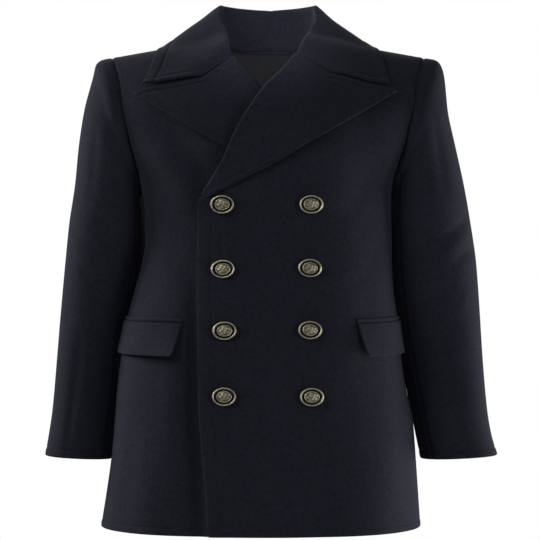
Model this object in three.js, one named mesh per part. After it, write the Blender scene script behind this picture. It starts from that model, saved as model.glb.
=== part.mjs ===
// A double-breasted pea coat, worn open-hollow on no wearer: a closed set of cloth walls and buttons.
// Millimetres, +Z up. The coat faces -Y, and +X is the wearer's left. The origin is the middle of the
// shoulder line, where the wearer's shoulders carry the coat.
import * as THREE from "three";

// Cloth and seams
const CLOTH = 2.6; // wool melton, one layer
const FACING = 2.2; // the facing that makes the lapels
const COLLAR_CLOTH = 2.8;
const LINING = 0.8;
const SEAM_GAP = 0.3;
const LAYER_GAP = 1.2; // between a layer and what it lies on
const LAPEL_GAP = 1.3; // lapels lie more softly
const LINING_GAP = 2;
const SLEEVE_CLEARANCE = 3.5; // between a sleeve and the body that it hangs against
const POCKET_GAP = 0.7; // between a flap or welt and the front
const FLAP_CLEARANCE = 5; // added where a pocket flap lies between them

// Body form
const HEM_Z = -703;
const BREAST_Z = -200; // armpits, and the height where the lapels start to roll
const ROUNDNESS = 2.3; // of a cross-section: 2 is an ellipse, more is squarer
const SIDE_SEAM_DEG = 96; // from the front centre
const NECK_HALF_WIDTH = 78; // from the centre to the neck end of the shoulder seam
const NECK_POINT_Z = 31;
const SHOULDER_HALF_WIDTH = 236;
const SHOULDER_SLOPE = 0.175;
const FRONT_SHOULDER_FALL = { neck: 165, tip: 95 }; // height over which a shoulder rounds to the chest
const BACK_SHOULDER_FALL = 120;
const BACK_NECK_DROP = 23; // centre back neck below the shoulder lines' meeting point

// Cross-sections of the body, seen from the front: half widths, and depths from the middle line.
const BODY = [
  { z: -703, right: 252, left: 230, front: 165, back: 150, middle: 0 },
  { z: -650, right: 243.5, left: 226.5, front: 162, back: 149, middle: 0 },
  { z: -600, right: 236.6, left: 223.3, front: 158, back: 146, middle: 0 },
  { z: -545, right: 231.8, left: 219, front: 153, back: 142, middle: 0 },
  { z: -495, right: 228, left: 208.5, front: 149, back: 137, middle: 0 },
  { z: -447, right: 222, left: 201, front: 144, back: 130, middle: 0 },
  { z: -395, right: 214, left: 196.5, front: 138, back: 121, middle: 0 },
  { z: -344, right: 200.5, left: 189.5, front: 131, back: 111, middle: 0 },
  { z: -309, right: 191.2, left: 187.7, front: 127, back: 105, middle: 0 },
  { z: -274, right: 186, left: 187.5, front: 124, back: 101, middle: 0 },
  { z: -239, right: 187, left: 187, front: 123, back: 102, middle: 0 },
  { z: -200, right: 192, left: 188, front: 124, back: 108, middle: 0 },
  { z: -155, right: 211, left: 209, front: 124, back: 118, middle: 0 },
  { z: -120, right: 231, left: 230, front: 120, back: 122, middle: 1 },
  { z: -80, right: 247, left: 246, front: 113, back: 121, middle: 3 },
  { z: -30, right: 256, left: 256, front: 98, back: 110, middle: 6 },
  { z: 4, right: 265, left: 265, front: 87, back: 100, middle: 8 },
  { z: 45, right: 275, left: 275, front: 75, back: 88, middle: 8 },
];

// Armhole from shoulder tip (0) to armpit (180): angles from the front and from the back centre.
const ARMHOLE = [
  { turn: 0, front: 61.1, back: 61.1 },
  { turn: 30, front: 60, back: 59.5 },
  { turn: 60, front: 59, back: 57.5 },
  { turn: 90, front: 60, back: 57.5 },
  { turn: 120, front: 67.5, back: 62.5 },
  { turn: 150, front: 78, back: 71 },
  { turn: 165, front: 86.5, back: 77 },
  { turn: 180, front: SIDE_SEAM_DEG, back: 180 - SIDE_SEAM_DEG },
];

// Front edge of the upper layer (wearer's left front) below the breast, as x at each height.
const FRONT_EDGE = [
  { z: -703, x: -84 },
  { z: -650, x: -87.5 },
  { z: -600, x: -92 },
  { z: -530, x: -98 },
  { z: -420, x: -101.5 },
  { z: -300, x: -103 },
  { z: -217, x: -99 },
  { z: -206, x: -88.5 },
];
// Front edge of the under layer, hidden; x is towards its own side of the coat.
const UNDER_EDGE = [
  { z: -703, x: -90 },
  { z: -240, x: -90 },
  { z: -206, x: -83.5 },
];

// Roll lines, from where the fold starts to the end of the gorge seam; x is towards the lapel's own
// side of the coat, so a negative x lies past the centre line.
const ROLL = {
  left: [
    { z: -206, x: -93 },
    { z: -153, x: -63 },
    { z: -111, x: -44 },
    { z: -56, x: -7 },
    { z: -22, x: 24 },
    { z: 0, x: 39 },
  ],
  right: [
    { z: -206, x: -88 },
    { z: -153, x: -58 },
    { z: -100, x: -22 },
    { z: -56, x: 7 },
    { z: -22, x: 33 },
    { z: 0, x: 51 },
  ],
};
const ROLL_START_Z = -206;
const ROLL_SETBACK = 7; // a front's own edge lies this far behind the crest of its roll

// Lapel corners seen from the front, x towards the lapel's own side.
const LAPEL = {
  left: { notch: { x: 93, z: -34 }, tip: { x: 188, z: -57 }, foot: { x: -84, z: -212 } },
  right: { notch: { x: 97, z: -34 }, tip: { x: 197, z: -58.5 }, foot: { x: -76, z: -214 } },
};
const LAPEL_EDGE_SAG = 4; // how far the long edge bows down between its ends
const FACING_INSIDE = 8; // width of facing turned to the inside at the roll

// Collar, half of it, from centre back (0) to its front end at the gorge (1).
const COLLAR = [
  { at: 0, foldX: 0, foldY: 82, foldZ: 86, edgeX: 0, edgeY: 106, edgeZ: -12 },
  { at: 0.18, foldX: 38, foldY: 74, foldZ: 87.5, edgeX: 62, edgeY: 101, edgeZ: -10 },
  { at: 0.36, foldX: 72, foldY: 48, foldZ: 90, edgeX: 118, edgeY: 76, edgeZ: 2 },
  { at: 0.54, foldX: 73, foldY: 22, foldZ: 69, edgeX: 156, edgeY: 24, edgeZ: 22 },
  { at: 0.77, foldX: 60, foldY: -9, foldZ: 42, edgeX: 171, edgeY: -34, edgeZ: 0 },
  { at: 1, foldX: 42, foldY: -60, foldZ: 5, edgeX: 180, edgeY: -74, edgeZ: -44 },
];
const COLLAR_FOLD_RADIUS = 4.5;
const COLLAR_BULGE = { left: 6, right: 9 }; // how far the fall rounds out between fold and edge

// Sleeve rings from armhole (0) to cuff (1): the points furthest out and in, the ring's middle and
// half its depth from front to back.
const SLEEVE = {
  left: [
    { at: 0, outX: 236, outZ: 3.4, inX: 188, inZ: -200, y: 4, deep: 68 },
    { at: 0.03, outX: 253, outZ: 1, inX: 191, inZ: -204, y: 4, deep: 71 },
    { at: 0.06, outX: 262, outZ: -6, inX: 191, inZ: -207, y: 7, deep: 73 },
    { at: 0.1, outX: 268, outZ: -25, inX: 189, inZ: -210, y: 11, deep: 75 },
    { at: 0.2, outX: 273, outZ: -75, inX: 186, inZ: -219, y: 15, deep: 76 },
    { at: 0.3, outX: 285, outZ: -130, inX: 183, inZ: -233, y: 19, deep: 76 },
    { at: 0.4, outX: 298, outZ: -188, inX: 182, inZ: -256, y: 21, deep: 74 },
    { at: 0.5, outX: 309, outZ: -246, inX: 180, inZ: -290, y: 29, deep: 70 },
    { at: 0.6, outX: 318, outZ: -305, inX: 183, inZ: -335, y: 33, deep: 66 },
    { at: 0.7, outX: 324, outZ: -378, inX: 190, inZ: -392, y: 38, deep: 61 },
    { at: 0.8, outX: 328, outZ: -450, inX: 203, inZ: -458, y: 33, deep: 57 },
    { at: 0.9, outX: 334, outZ: -531, inX: 218, inZ: -534, y: 21, deep: 54 },
    { at: 0.95, outX: 340, outZ: -568, inX: 225, inZ: -570, y: 17, deep: 52 },
    { at: 1, outX: 348.5, outZ: -598, inX: 232, inZ: -604, y: 14, deep: 51 },
  ],
  right: [
    { at: 0, outX: 236, outZ: 3.4, inX: 192, inZ: -200, y: 4, deep: 68 },
    { at: 0.03, outX: 251, outZ: 1, inX: 196, inZ: -204, y: 4, deep: 71 },
    { at: 0.06, outX: 261, outZ: -6, inX: 194, inZ: -207, y: 7, deep: 73 },
    { at: 0.1, outX: 266, outZ: -25, inX: 192, inZ: -210, y: 11, deep: 75 },
    { at: 0.2, outX: 279, outZ: -75, inX: 188, inZ: -219, y: 15, deep: 77 },
    { at: 0.3, outX: 288, outZ: -130, inX: 184, inZ: -233, y: 20, deep: 77 },
    { at: 0.4, outX: 294, outZ: -188, inX: 183, inZ: -256, y: 23, deep: 76 },
    { at: 0.5, outX: 303.5, outZ: -246, inX: 182, inZ: -290, y: 31, deep: 73 },
    { at: 0.6, outX: 310, outZ: -305, inX: 189, inZ: -335, y: 36, deep: 69 },
    { at: 0.7, outX: 317, outZ: -379, inX: 203, inZ: -393, y: 38, deep: 64 },
    { at: 0.8, outX: 323, outZ: -451, inX: 215, inZ: -459, y: 38, deep: 60 },
    { at: 0.9, outX: 330, outZ: -532, inX: 225, inZ: -535, y: 36, deep: 57 },
    { at: 0.95, outX: 335.5, outZ: -570, inX: 229, inZ: -571, y: 34, deep: 55 },
    { at: 1, outX: 340.5, outZ: -600, inX: 233, inZ: -605, y: 32, deep: 54 },
  ],
};
const SLEEVE_ROUNDNESS = 2.15;
const SLEEVE_SEAM_HALF_DEG = 0.45; // each piece stops this far round from the seam
const CAP_LENGTH = 0.22; // share of the sleeve over which the armhole's own shape fades out
const FOREARM_SEAM_DEG = 135; // round the sleeve from its outer line by the front
const HIND_ARM_SEAM_DEG = 255;

// Soft folds that run down the cloth: middle, width, and the heights between which they lie.
const FOLDS = [
  { piece: "front", x: -125, wide: 26, top: -330, bottom: -760, out: -6 },
  { piece: "front", x: -178, wide: 26, top: -470, bottom: -760, out: 4 },
  { piece: "front", x: 75, wide: 34, top: -430, bottom: -760, out: -3.5 },
  { piece: "front", x: 155, wide: 40, top: -420, bottom: -760, out: 6 },
  { piece: "back", x: -95, wide: 38, top: -380, bottom: -760, out: 6 },
  { piece: "back", x: 88, wide: 34, top: -400, bottom: -760, out: 5.5 },
  { piece: "back", x: 8, wide: 30, top: -430, bottom: -760, out: -4 },
];

// Pockets
const FLAP = {
  top: -396,
  bottom: -444.5,
  middle: -420,
  reach: 45,
  slant: 13,
  backDeg: 88,
  cloth: 3,
  stand: 4,
};
const FLAP_FRONT_X = { left: 129, right: 125 };
const WELT = { top: -387, bottom: -395.3, cloth: 1.8 };

// Buttons: wider than tall, with a rim, a groove and a domed middle.
const BUTTON = { halfWidth: 17.8, halfHeight: 13.4, thick: 4.4, shankRadius: 3.2, shankLength: 3.2 };
const BUTTON_PLACES = [
  { x: -64, z: -222 },
  { x: 60.5, z: -222 },
  { x: -64, z: -317.6 },
  { x: 59.5, z: -316 },
  { x: -61.5, z: -407 },
  { x: 59.5, z: -406 },
  { x: -62, z: -501.5 },
  { x: 62, z: -502 },
];

// Grid steps of each piece, along and across
const STEPS = {
  frontLow: 10,
  armhole: 12, // from the armpit to the shoulder tip; the sleeve has the same steps
  frontAcross: 12,
  backAcross: 9,
  sleeveDown: 16,
  collarHalf: 14,
  lapel: 12,
  flap: 7,
  button: 16,
};

const WOOL = new THREE.MeshStandardMaterial({ color: 0x1b1d27, roughness: 0.95, metalness: 0 });
const LINING_CLOTH = new THREE.MeshStandardMaterial({ color: 0x222329, roughness: 0.6, metalness: 0 });
const BRASS = new THREE.MeshStandardMaterial({ color: 0x7d745c, roughness: 0.4, metalness: 0.9 });

const radians = THREE.MathUtils.degToRad;
const degrees = THREE.MathUtils.radToDeg;
const lerp = THREE.MathUtils.lerp;
const smooth = THREE.MathUtils.smoothstep;
const vector = (x, y, z) => new THREE.Vector3(x, y, z);
const along = (a, b, share) => new THREE.Vector3().lerpVectors(a, b, share);
const power = (value, exponent) => Math.max(0, value) ** exponent;

// The value of a table's column at any key, through its rows, with no overshoot between them.
function follow(table, key, column) {
  const rows = [...table].sort((a, b) => a[key] - b[key]);
  const k = rows.map((row) => row[key]);
  const v = rows.map((row) => row[column]);
  const slope = k.slice(1).map((_, i) => (v[i + 1] - v[i]) / (k[i + 1] - k[i]));
  const tangent = v.map((_, i) => {
    if (i === 0) return slope[0];
    if (i === slope.length) return slope[i - 1];
    const [before, after] = [slope[i - 1], slope[i]];
    return before * after <= 0 ? 0 : (2 * before * after) / (before + after);
  });
  return (at) => {
    if (at <= k[0]) return v[0] + tangent[0] * (at - k[0]);
    const last = k.length - 1;
    if (at >= k[last]) return v[last] + tangent[last] * (at - k[last]);
    const i = k.findIndex((_, j) => at <= k[j + 1]);
    const span = k[i + 1] - k[i];
    const t = (at - k[i]) / span;
    const rise = t * t * (3 - 2 * t);
    const start = t * (1 - t) * (1 - t);
    const end = t * t * (t - 1);
    return lerp(v[i], v[i + 1], rise) + span * (start * tangent[i] + end * tangent[i + 1]);
  };
}

// The body form
const body = {};
for (const column of ["right", "left", "front", "back", "middle"]) body[column] = follow(BODY, "z", column);
const armholeFront = follow(ARMHOLE, "turn", "front");
const armholeBack = follow(ARMHOLE, "turn", "back");

const halfWidth = (x, z) => (x < 0 ? body.right(z) : body.left(z));
const shoulderLine = (x) => NECK_POINT_Z + (NECK_HALF_WIDTH - Math.abs(x)) * SHOULDER_SLOPE;
const SHOULDER_TIP_Z = shoulderLine(SHOULDER_HALF_WIDTH);

function shoulderFall(x, isFront) {
  if (!isFront) return BACK_SHOULDER_FALL;
  const share = Math.min(1, Math.abs(x) / SHOULDER_HALF_WIDTH) ** 1.5;
  return lerp(FRONT_SHOULDER_FALL.neck, FRONT_SHOULDER_FALL.tip, share);
}

// How much of the body's full depth is left at a height, to the power of the roundness.
function depthLeft(x, z, isFront) {
  const below = Math.min(1, (shoulderLine(x) - z) / shoulderFall(x, isFront));
  return 1 - (1 - below) ** ROUNDNESS;
}

// A point of the body form at a front-view place, on its front or its back.
function bodyAt(x, z, isFront = true) {
  const across = 1 - (Math.abs(x) / halfWidth(x, z)) ** ROUNDNESS;
  const depth = power(across * depthLeft(x, z, isFront), 1 / ROUNDNESS);
  const y = body.middle(z) + depth * (isFront ? -body.front(z) : body.back(z));
  return vector(x, y, z);
}

// A point of the body form at an angle from the front centre: positive is to the wearer's left.
function bodyRound(deg, z) {
  const x = roundX(deg, z);
  const depth = Math.abs(Math.cos(radians(deg))) ** (2 / ROUNDNESS);
  const isFront = Math.cos(radians(deg)) > 0;
  const y = depth * power(depthLeft(x, z, isFront), 1 / ROUNDNESS);
  return vector(x, body.middle(z) + y * (isFront ? -body.front(z) : body.back(z)), z);
}

function roundX(deg, z) {
  const sine = Math.sin(radians(deg));
  return Math.sign(sine) * halfWidth(sine, z) * Math.abs(sine) ** (2 / ROUNDNESS);
}

const angleOf = (x, z) =>
  Math.sign(x) * degrees(Math.asin(Math.min(1, Math.abs(x) / halfWidth(x, z)) ** (ROUNDNESS / 2)));

// Zero on the body form, negative inside it.
function bodyField(p) {
  const isFront = p.y < body.middle(p.z);
  const depth = isFront ? body.front(p.z) : body.back(p.z);
  const across = 1 - (Math.abs(p.x) / halfWidth(p.x, p.z)) ** ROUNDNESS;
  const out = (Math.abs(p.y - body.middle(p.z)) / depth) ** ROUNDNESS;
  return out - across * depthLeft(p.x, p.z, isFront);
}

function bodyGradient(p) {
  const step = 0.02;
  const slope = (axis) => {
    const [more, less] = [p.clone(), p.clone()];
    more[axis] += step;
    less[axis] -= step;
    return (bodyField(more) - bodyField(less)) / (2 * step);
  };
  return vector(slope("x"), slope("y"), slope("z"));
}

const bodyNormal = (p) => bodyGradient(p).normalize();
const moved = (p, direction, distance) => p.clone().addScaledVector(direction, distance);
const movedOut = (p, distance) => moved(p, bodyNormal(p), distance);

// Layers of the double breast
const OVERLAP_LIFT = CLOTH + LAYER_GAP;
const LAPEL_LIFT = FACING + LAPEL_GAP;

// How far the upper front stands off the body form: over the under front, and more over its lapel.
function upperLift(x, z) {
  const overUnder = 1 - smooth(x, 100, 155);
  const overLapel = smooth(z, -262, -206) * (1 - smooth(x, 62, 150)) * (1 - smooth(z, -50, 12));
  return OVERLAP_LIFT * overUnder + 2 * LAPEL_LIFT * overLapel;
}

function foldLift(piece, x, z) {
  let out = 0;
  for (const fold of FOLDS.filter((f) => f.piece === piece)) {
    const across = Math.exp(-(((x - fold.x) / fold.wide) ** 2));
    out += fold.out * across * smooth(-z, -fold.top, -fold.bottom);
  }
  return out;
}

function lift(piece, x, z) {
  const layer = piece === "front_left" ? upperLift(x, z) : 0;
  return layer + foldLift(piece === "back" ? "back" : "front", x, z);
}

// Shapes
function mesh(name, geometry, material) {
  const made = new THREE.Mesh(geometry, material);
  made.name = name;
  return made;
}

function signedVolume(position, index) {
  const [a, b, c] = [vector(), vector(), vector()];
  let volume = 0;
  for (let i = 0; i < index.length; i += 3) {
    a.fromArray(position, index[i] * 3);
    b.fromArray(position, index[i + 1] * 3);
    c.fromArray(position, index[i + 2] * 3);
    volume += a.dot(b.cross(c)) / 6;
  }
  return volume;
}

// A closed wall between two grids of points: its face and its back.
function wall(face, back) {
  const rows = face.length;
  const columns = face[0].length;
  const position = [...face.flat(), ...back.flat()].flatMap((p) => p.toArray());
  const faceId = (r, c) => r * columns + c;
  const backId = (r, c) => rows * columns + faceId(r, c);
  const index = [];
  const quad = (a, b, c, d) => index.push(a, b, c, a, c, d);
  for (let r = 0; r < rows - 1; r++)
    for (let c = 0; c < columns - 1; c++) {
      quad(faceId(r, c), faceId(r, c + 1), faceId(r + 1, c + 1), faceId(r + 1, c));
      quad(backId(r + 1, c), backId(r + 1, c + 1), backId(r, c + 1), backId(r, c));
    }
  for (let c = 0; c < columns - 1; c++) {
    quad(faceId(0, c + 1), faceId(0, c), backId(0, c), backId(0, c + 1));
    quad(faceId(rows - 1, c), faceId(rows - 1, c + 1), backId(rows - 1, c + 1), backId(rows - 1, c));
  }
  for (let r = 0; r < rows - 1; r++) {
    quad(faceId(r, 0), faceId(r + 1, 0), backId(r + 1, 0), backId(r, 0));
    quad(faceId(r + 1, columns - 1), faceId(r, columns - 1), backId(r, columns - 1), backId(r + 1, columns - 1));
  }
  if (signedVolume(position, index) < 0) index.reverse();
  const geometry = new THREE.BufferGeometry();
  geometry.setAttribute("position", new THREE.Float32BufferAttribute(position, 3));
  geometry.setIndex(index);
  geometry.computeVertexNormals();
  return geometry;
}

const shares = (steps) => Array.from({ length: steps + 1 }, (_, i) => i / steps);

// A panel that lies on the body form, from a rule that gives its points and how far out each lies.
function panelOnBody(rows, columns, thickness, place) {
  const face = rows.map((v) =>
    columns.map((u) => {
      const { point, out } = place(u, v);
      return { point, out, normal: bodyNormal(point) };
    }),
  );
  const layer = (depth) =>
    face.map((row) => row.map(({ point, out, normal }) => moved(point, normal, out - depth)));
  return wall(layer(0), layer(thickness));
}

// Height of the armhole at a turn, and its angle from the front centre.
const armholeZ = (turn) => lerp(BREAST_Z, SHOULDER_TIP_Z, (1 + Math.cos(radians(turn))) / 2);

function armholePoint(sign, turn) {
  const isFront = turn <= 180;
  const turned = isFront ? turn : 360 - turn;
  const z = armholeZ(turned);
  const deg = isFront ? armholeFront(turned) : 180 - armholeBack(turned);
  return bodyRound(sign * deg, z);
}

// Rows of a panel: even steps up to the breast, then closer steps as the shoulder rounds over.
const LOW_ROWS = shares(STEPS.frontLow).map((v) => -1 + v);
const HIGH_ROWS = shares(STEPS.armhole).slice(1).map((v) => (1 - Math.cos(Math.PI * v)) / 2);
const PANEL_ROWS = [...LOW_ROWS, ...HIGH_ROWS];
const seamInset = (z) => degrees(SEAM_GAP / 2 / body.left(z));

// Turn of the armhole for a row above the breast: 180 at the armpit, 0 at the shoulder tip.
const armholeTurn = (v) => degrees(Math.acos(THREE.MathUtils.clamp(2 * v - 1, -1, 1)));

// Inner boundary of a front above the breast: its roll line, then the neck up to the shoulder seam.
function frontInner(side, v) {
  const roll = follow(ROLL[side], "z", "x");
  const gorgeShare = 0.86;
  const rollTop = ROLL[side].at(-1);
  if (v <= gorgeShare) {
    const z = lerp(ROLL_START_Z, rollTop.z, v / gorgeShare);
    return { x: roll(z) + ROLL_SETBACK, z };
  }
  const share = (v - gorgeShare) / (1 - gorgeShare);
  return {
    x: lerp(rollTop.x + ROLL_SETBACK, NECK_HALF_WIDTH, share),
    z: lerp(rollTop.z, NECK_POINT_Z, share),
  };
}

function frontPlace(side, u, v) {
  const sign = side === "left" ? 1 : -1;
  const edge = follow(side === "left" ? FRONT_EDGE : UNDER_EDGE, "z", "x");
  const piece = side === "left" ? "front_left" : "front_right";
  const seam = SIDE_SEAM_DEG - seamInset(BREAST_Z);
  let point;
  if (v <= 0) {
    const startZ = lerp(ROLL_START_Z, HEM_Z, -v);
    const z = lerp(startZ, lerp(BREAST_Z, HEM_Z, -v), u);
    const start = angleOf(sign * edge(startZ), z);
    point = bodyRound(lerp(start, sign * seam, u), z);
  } else {
    const inner = frontInner(side, v);
    const turn = armholeTurn(v);
    const outerZ = armholeZ(turn);
    const innerLine = shoulderLine(inner.x);
    const outerLine = shoulderLine(SHOULDER_HALF_WIDTH);
    let z = lerp(inner.z, outerZ, u);
    let deg = 0;
    for (let i = 0; i < 4; i++) {
      deg = lerp(angleOf(sign * inner.x, z), sign * armholeFront(turn), u);
      const ridge = shoulderLine(roundX(deg, z)) - lerp(innerLine, outerLine, u);
      z = lerp(inner.z, outerZ, u) + v * v * ridge;
    }
    z = Math.min(z, shoulderLine(roundX(deg, z)));
    point = bodyRound(deg, z);
    point.y -= (SEAM_GAP / 2) * smooth(v, 0.9, 1);
  }
  return { point, out: lift(piece, point.x, point.z) };
}

function makeFront(side) {
  const columns = shares(STEPS.frontAcross);
  const geometry = panelOnBody(PANEL_ROWS, columns, CLOTH, (u, v) => frontPlace(side, u, v));
  return mesh(`front_${side}`, geometry, WOOL);
}

// Top edge of the back: the neck curve, then the shoulder seam.
function backTop(x) {
  const inNeck = Math.min(1, Math.abs(x) / NECK_HALF_WIDTH);
  return shoulderLine(x) - BACK_NECK_DROP * (1 - inNeck * inNeck);
}

function backPlace(sign, u, v) {
  const centre = 180 - seamInset(BREAST_Z);
  let point;
  if (v <= 0) {
    const z = lerp(BREAST_Z, HEM_Z, -v);
    point = bodyRound(sign * lerp(centre, SIDE_SEAM_DEG + seamInset(z), u), z);
  } else {
    const turn = armholeTurn(v);
    const outerZ = armholeZ(turn);
    const innerZ = lerp(BREAST_Z, backTop(0), v);
    const outer = 180 - armholeBack(turn);
    const deg = lerp(centre, outer, u);
    let z = lerp(innerZ, outerZ, u);
    for (let i = 0; i < 4; i++) {
      const straight = lerp(backTop(0), SHOULDER_TIP_Z, u);
      z = lerp(innerZ, outerZ, u) + v * v * (backTop(roundX(deg, z)) - straight);
    }
    point = bodyRound(sign * deg, Math.min(z, shoulderLine(roundX(deg, z))));
    point.y += (SEAM_GAP / 2) * smooth(v, 0.9, 1);
  }
  return { point, out: lift("back", point.x, point.z) };
}

function makeBack(side) {
  const sign = side === "left" ? 1 : -1;
  const columns = shares(STEPS.backAcross);
  const geometry = panelOnBody(PANEL_ROWS, columns, CLOTH, (u, v) => backPlace(sign, u, v));
  return mesh(`back_${side}`, geometry, WOOL);
}

// Lining inside the upper back, as far as it shows through the neck.
function makeLining() {
  const rows = HIGH_ROWS.slice(3);
  const half = shares(STEPS.backAcross).slice(0, -2);
  const columns = [...half.map((u) => -u).reverse(), ...half.slice(1)];
  const geometry = panelOnBody(rows, columns, LINING, (u, v) => {
    const { point, out } = backPlace(Math.sign(u) || 1, Math.abs(u), v);
    if (u === 0) point.x = 0;
    const gap = lerp(LINING_GAP, SEAM_GAP, smooth(v, 0.93, 1)); // sewn in along the neck
    return { point, out: out - CLOTH - gap };
  });
  return mesh("back_lining", geometry, LINING_CLOTH);
}

// Moves a point that is nearer to the body form than a distance out to it, by a share of the way.
// A soft reach lets points just beyond that distance start to give way too.
function pushedOut(point, wanted, share = 1, soft = 0) {
  for (let i = 0; i < 3; i++) {
    const gradient = bodyGradient(point);
    const short = wanted - bodyField(point) / gradient.length();
    const reach = i === 0 ? soft : 0;
    const push = short >= reach ? short : power(short + reach, 2) / (4 * reach || 1);
    point.addScaledVector(gradient.normalize(), push * share);
  }
  return point;
}

// Sleeves
function sleeveRing(side, at, turn) {
  const value = (column) => follow(SLEEVE[side], "at", column)(at);
  const sign = side === "left" ? 1 : -1;
  const outer = vector(sign * value("outX"), value("y"), value("outZ"));
  const inner = vector(sign * value("inX"), value("y"), value("inZ"));
  const round = (s) => Math.sign(s) * Math.abs(s) ** (2 / SLEEVE_ROUNDNESS);
  const reach = round(Math.cos(radians(turn))) / 2;
  const point = along(inner, outer, 0.5 + reach);
  point.y -= value("deep") * round(Math.sin(radians(turn)));
  return point;
}

function sleevePoint(side, at, turn) {
  const sign = side === "left" ? 1 : -1;
  const point = sleeveRing(side, at, turn);
  const fade = 1 - smooth(at, 0, CAP_LENGTH);
  if (fade > 0) {
    const wrapped = ((turn % 360) + 360) % 360;
    const start = armholePoint(sign, wrapped).sub(sleeveRing(side, 0, turn));
    point.addScaledVector(start, fade);
  }
  const overFlap = Math.exp(-(((point.z - FLAP.middle) / FLAP.reach) ** 2));
  const clearance = SLEEVE_CLEARANCE + FLAP_CLEARANCE * overFlap;
  const wanted = lerp(SEAM_GAP, clearance, smooth(at, 0, 0.05));
  return pushedOut(point, wanted, 1 - smooth(point.z, BREAST_Z, BREAST_Z + 50), wanted);
}

function sleeveNormal(side, at, turn) {
  const sign = side === "left" ? 1 : -1;
  const down = sleevePoint(side, Math.min(1, at + 0.012), turn);
  down.sub(sleevePoint(side, Math.max(0, at - 0.012), turn));
  const across = sleevePoint(side, at, turn + 2).sub(sleevePoint(side, at, turn - 2));
  return across.cross(down).multiplyScalar(sign).normalize();
}

const SLEEVE_ROWS = shares(STEPS.sleeveDown).map((v) => 0.55 * v ** 1.7 + 0.45 * v);

function makeSleevePiece(name, side, fromDeg, toDeg) {
  const sign = side === "left" ? 1 : -1;
  const steps = ((toDeg - fromDeg) / 180) * STEPS.armhole;
  const turns = shares(steps).map((u) => lerp(fromDeg, toDeg, u));
  turns[0] += SLEEVE_SEAM_HALF_DEG;
  turns[steps] -= SLEEVE_SEAM_HALF_DEG;
  const face = [];
  const back = [];
  for (const at of SLEEVE_ROWS) {
    const rowFace = [];
    const rowBack = [];
    for (const turn of turns) {
      const point = sleevePoint(side, at, turn);
      const normal = sleeveNormal(side, at, turn);
      if (at === 0) {
        const away = sleevePoint(side, 0.02, turn).sub(point).normalize();
        const wrapped = ((turn % 360) + 360) % 360;
        const follows = smooth(Math.cos(radians(turn)), -0.2, 0.6);
        normal.lerp(bodyNormal(armholePoint(sign, wrapped)), follows).normalize();
        point.addScaledVector(away, 2 * SEAM_GAP);
      }
      rowFace.push(point);
      rowBack.push(moved(point, normal, -CLOTH));
    }
    face.push(rowFace);
    back.push(rowBack);
  }
  return mesh(name, wall(face, back), WOOL);
}

function makeSleeve(side) {
  const topFrom = HIND_ARM_SEAM_DEG - 360;
  return [
    makeSleevePiece(`top_sleeve_${side}`, side, topFrom, FOREARM_SEAM_DEG),
    makeSleevePiece(`under_sleeve_${side}`, side, FOREARM_SEAM_DEG, HIND_ARM_SEAM_DEG),
  ];
}

// Lapels: the facing turns round the roll line and lies on the front.
function lapelPlan(side, u, v) {
  const { notch, tip, foot } = LAPEL[side];
  const gorge = ROLL[side].at(-1);
  const rollZ = lerp(ROLL[side][0].z, gorge.z, v);
  const roll = { x: follow(ROLL[side], "z", "x")(rollZ), z: rollZ };
  const sag = LAPEL_EDGE_SAG * Math.sin(Math.PI * v);
  const edge = { x: lerp(foot.x, tip.x, v), z: lerp(foot.z, tip.z, v) - sag };
  const notchShare = 0.38;
  const top =
    u < notchShare
      ? { x: lerp(gorge.x, notch.x, u / notchShare), z: lerp(gorge.z, notch.z, u / notchShare) }
      : {
          x: lerp(notch.x, tip.x, (u - notchShare) / (1 - notchShare)),
          z: lerp(notch.z, tip.z, (u - notchShare) / (1 - notchShare)),
        };
  const bend = v ** 3;
  return {
    x: lerp(roll.x, edge.x, u) + bend * (top.x - lerp(gorge.x, tip.x, u)),
    z: lerp(roll.z, edge.z, u) + bend * (top.z - lerp(gorge.z, tip.z, u)),
  };
}

function makeLapel(side) {
  const sign = side === "left" ? 1 : -1;
  const piece = `front_${side}`;
  const rollRadius = CLOTH / 2 + LAPEL_LIFT;
  const bends = [180, 135, 90, 45, 0]; // round the roll, from the inside to the outside
  const across = shares(STEPS.lapel - 3).slice(1);
  const face = [];
  const back = [];
  for (const v of shares(STEPS.lapel)) {
    const start = lapelPlan(side, 0, v);
    const next = lapelPlan(side, 0.02, v);
    const crest = bodyAt(sign * start.x, start.z);
    const normal = bodyNormal(crest);
    const inward = crest.clone().sub(bodyAt(sign * next.x, next.z)).normalize();
    const middle = moved(crest, normal, lift(piece, crest.x, crest.z) - CLOTH / 2);
    middle.addScaledVector(inward, -rollRadius);
    const rowFace = [];
    const rowBack = [];
    const add = (centre, direction, radius) => {
      rowFace.push(moved(centre, direction, radius));
      rowBack.push(moved(centre, direction, radius - FACING));
    };
    add(moved(middle, inward, -FACING_INSIDE * (0.35 + 0.65 * v)), normal.clone().negate(), rollRadius);
    for (const bend of bends) {
      const direction = normal.clone().multiplyScalar(Math.cos(radians(bend)));
      direction.addScaledVector(inward, Math.sin(radians(bend)));
      add(middle, direction, rollRadius);
    }
    for (const u of across) {
      const plan = lapelPlan(side, u, v);
      const point = bodyAt(sign * plan.x, plan.z);
      const out = lift(piece, point.x, point.z) + LAPEL_LIFT;
      rowFace.push(movedOut(point, out));
      rowBack.push(movedOut(point, out - FACING));
    }
    face.push(rowFace);
    back.push(rowBack);
  }
  return mesh(`lapel_${side}`, wall(face, back), WOOL);
}

// Collar: the stand rises from the neck, folds over and falls to the collar's edge.
const collarColumn = {};
for (const column of ["foldX", "foldY", "foldZ", "edgeX", "edgeY", "edgeZ"])
  collarColumn[column] = follow(COLLAR, "at", column);

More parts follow.
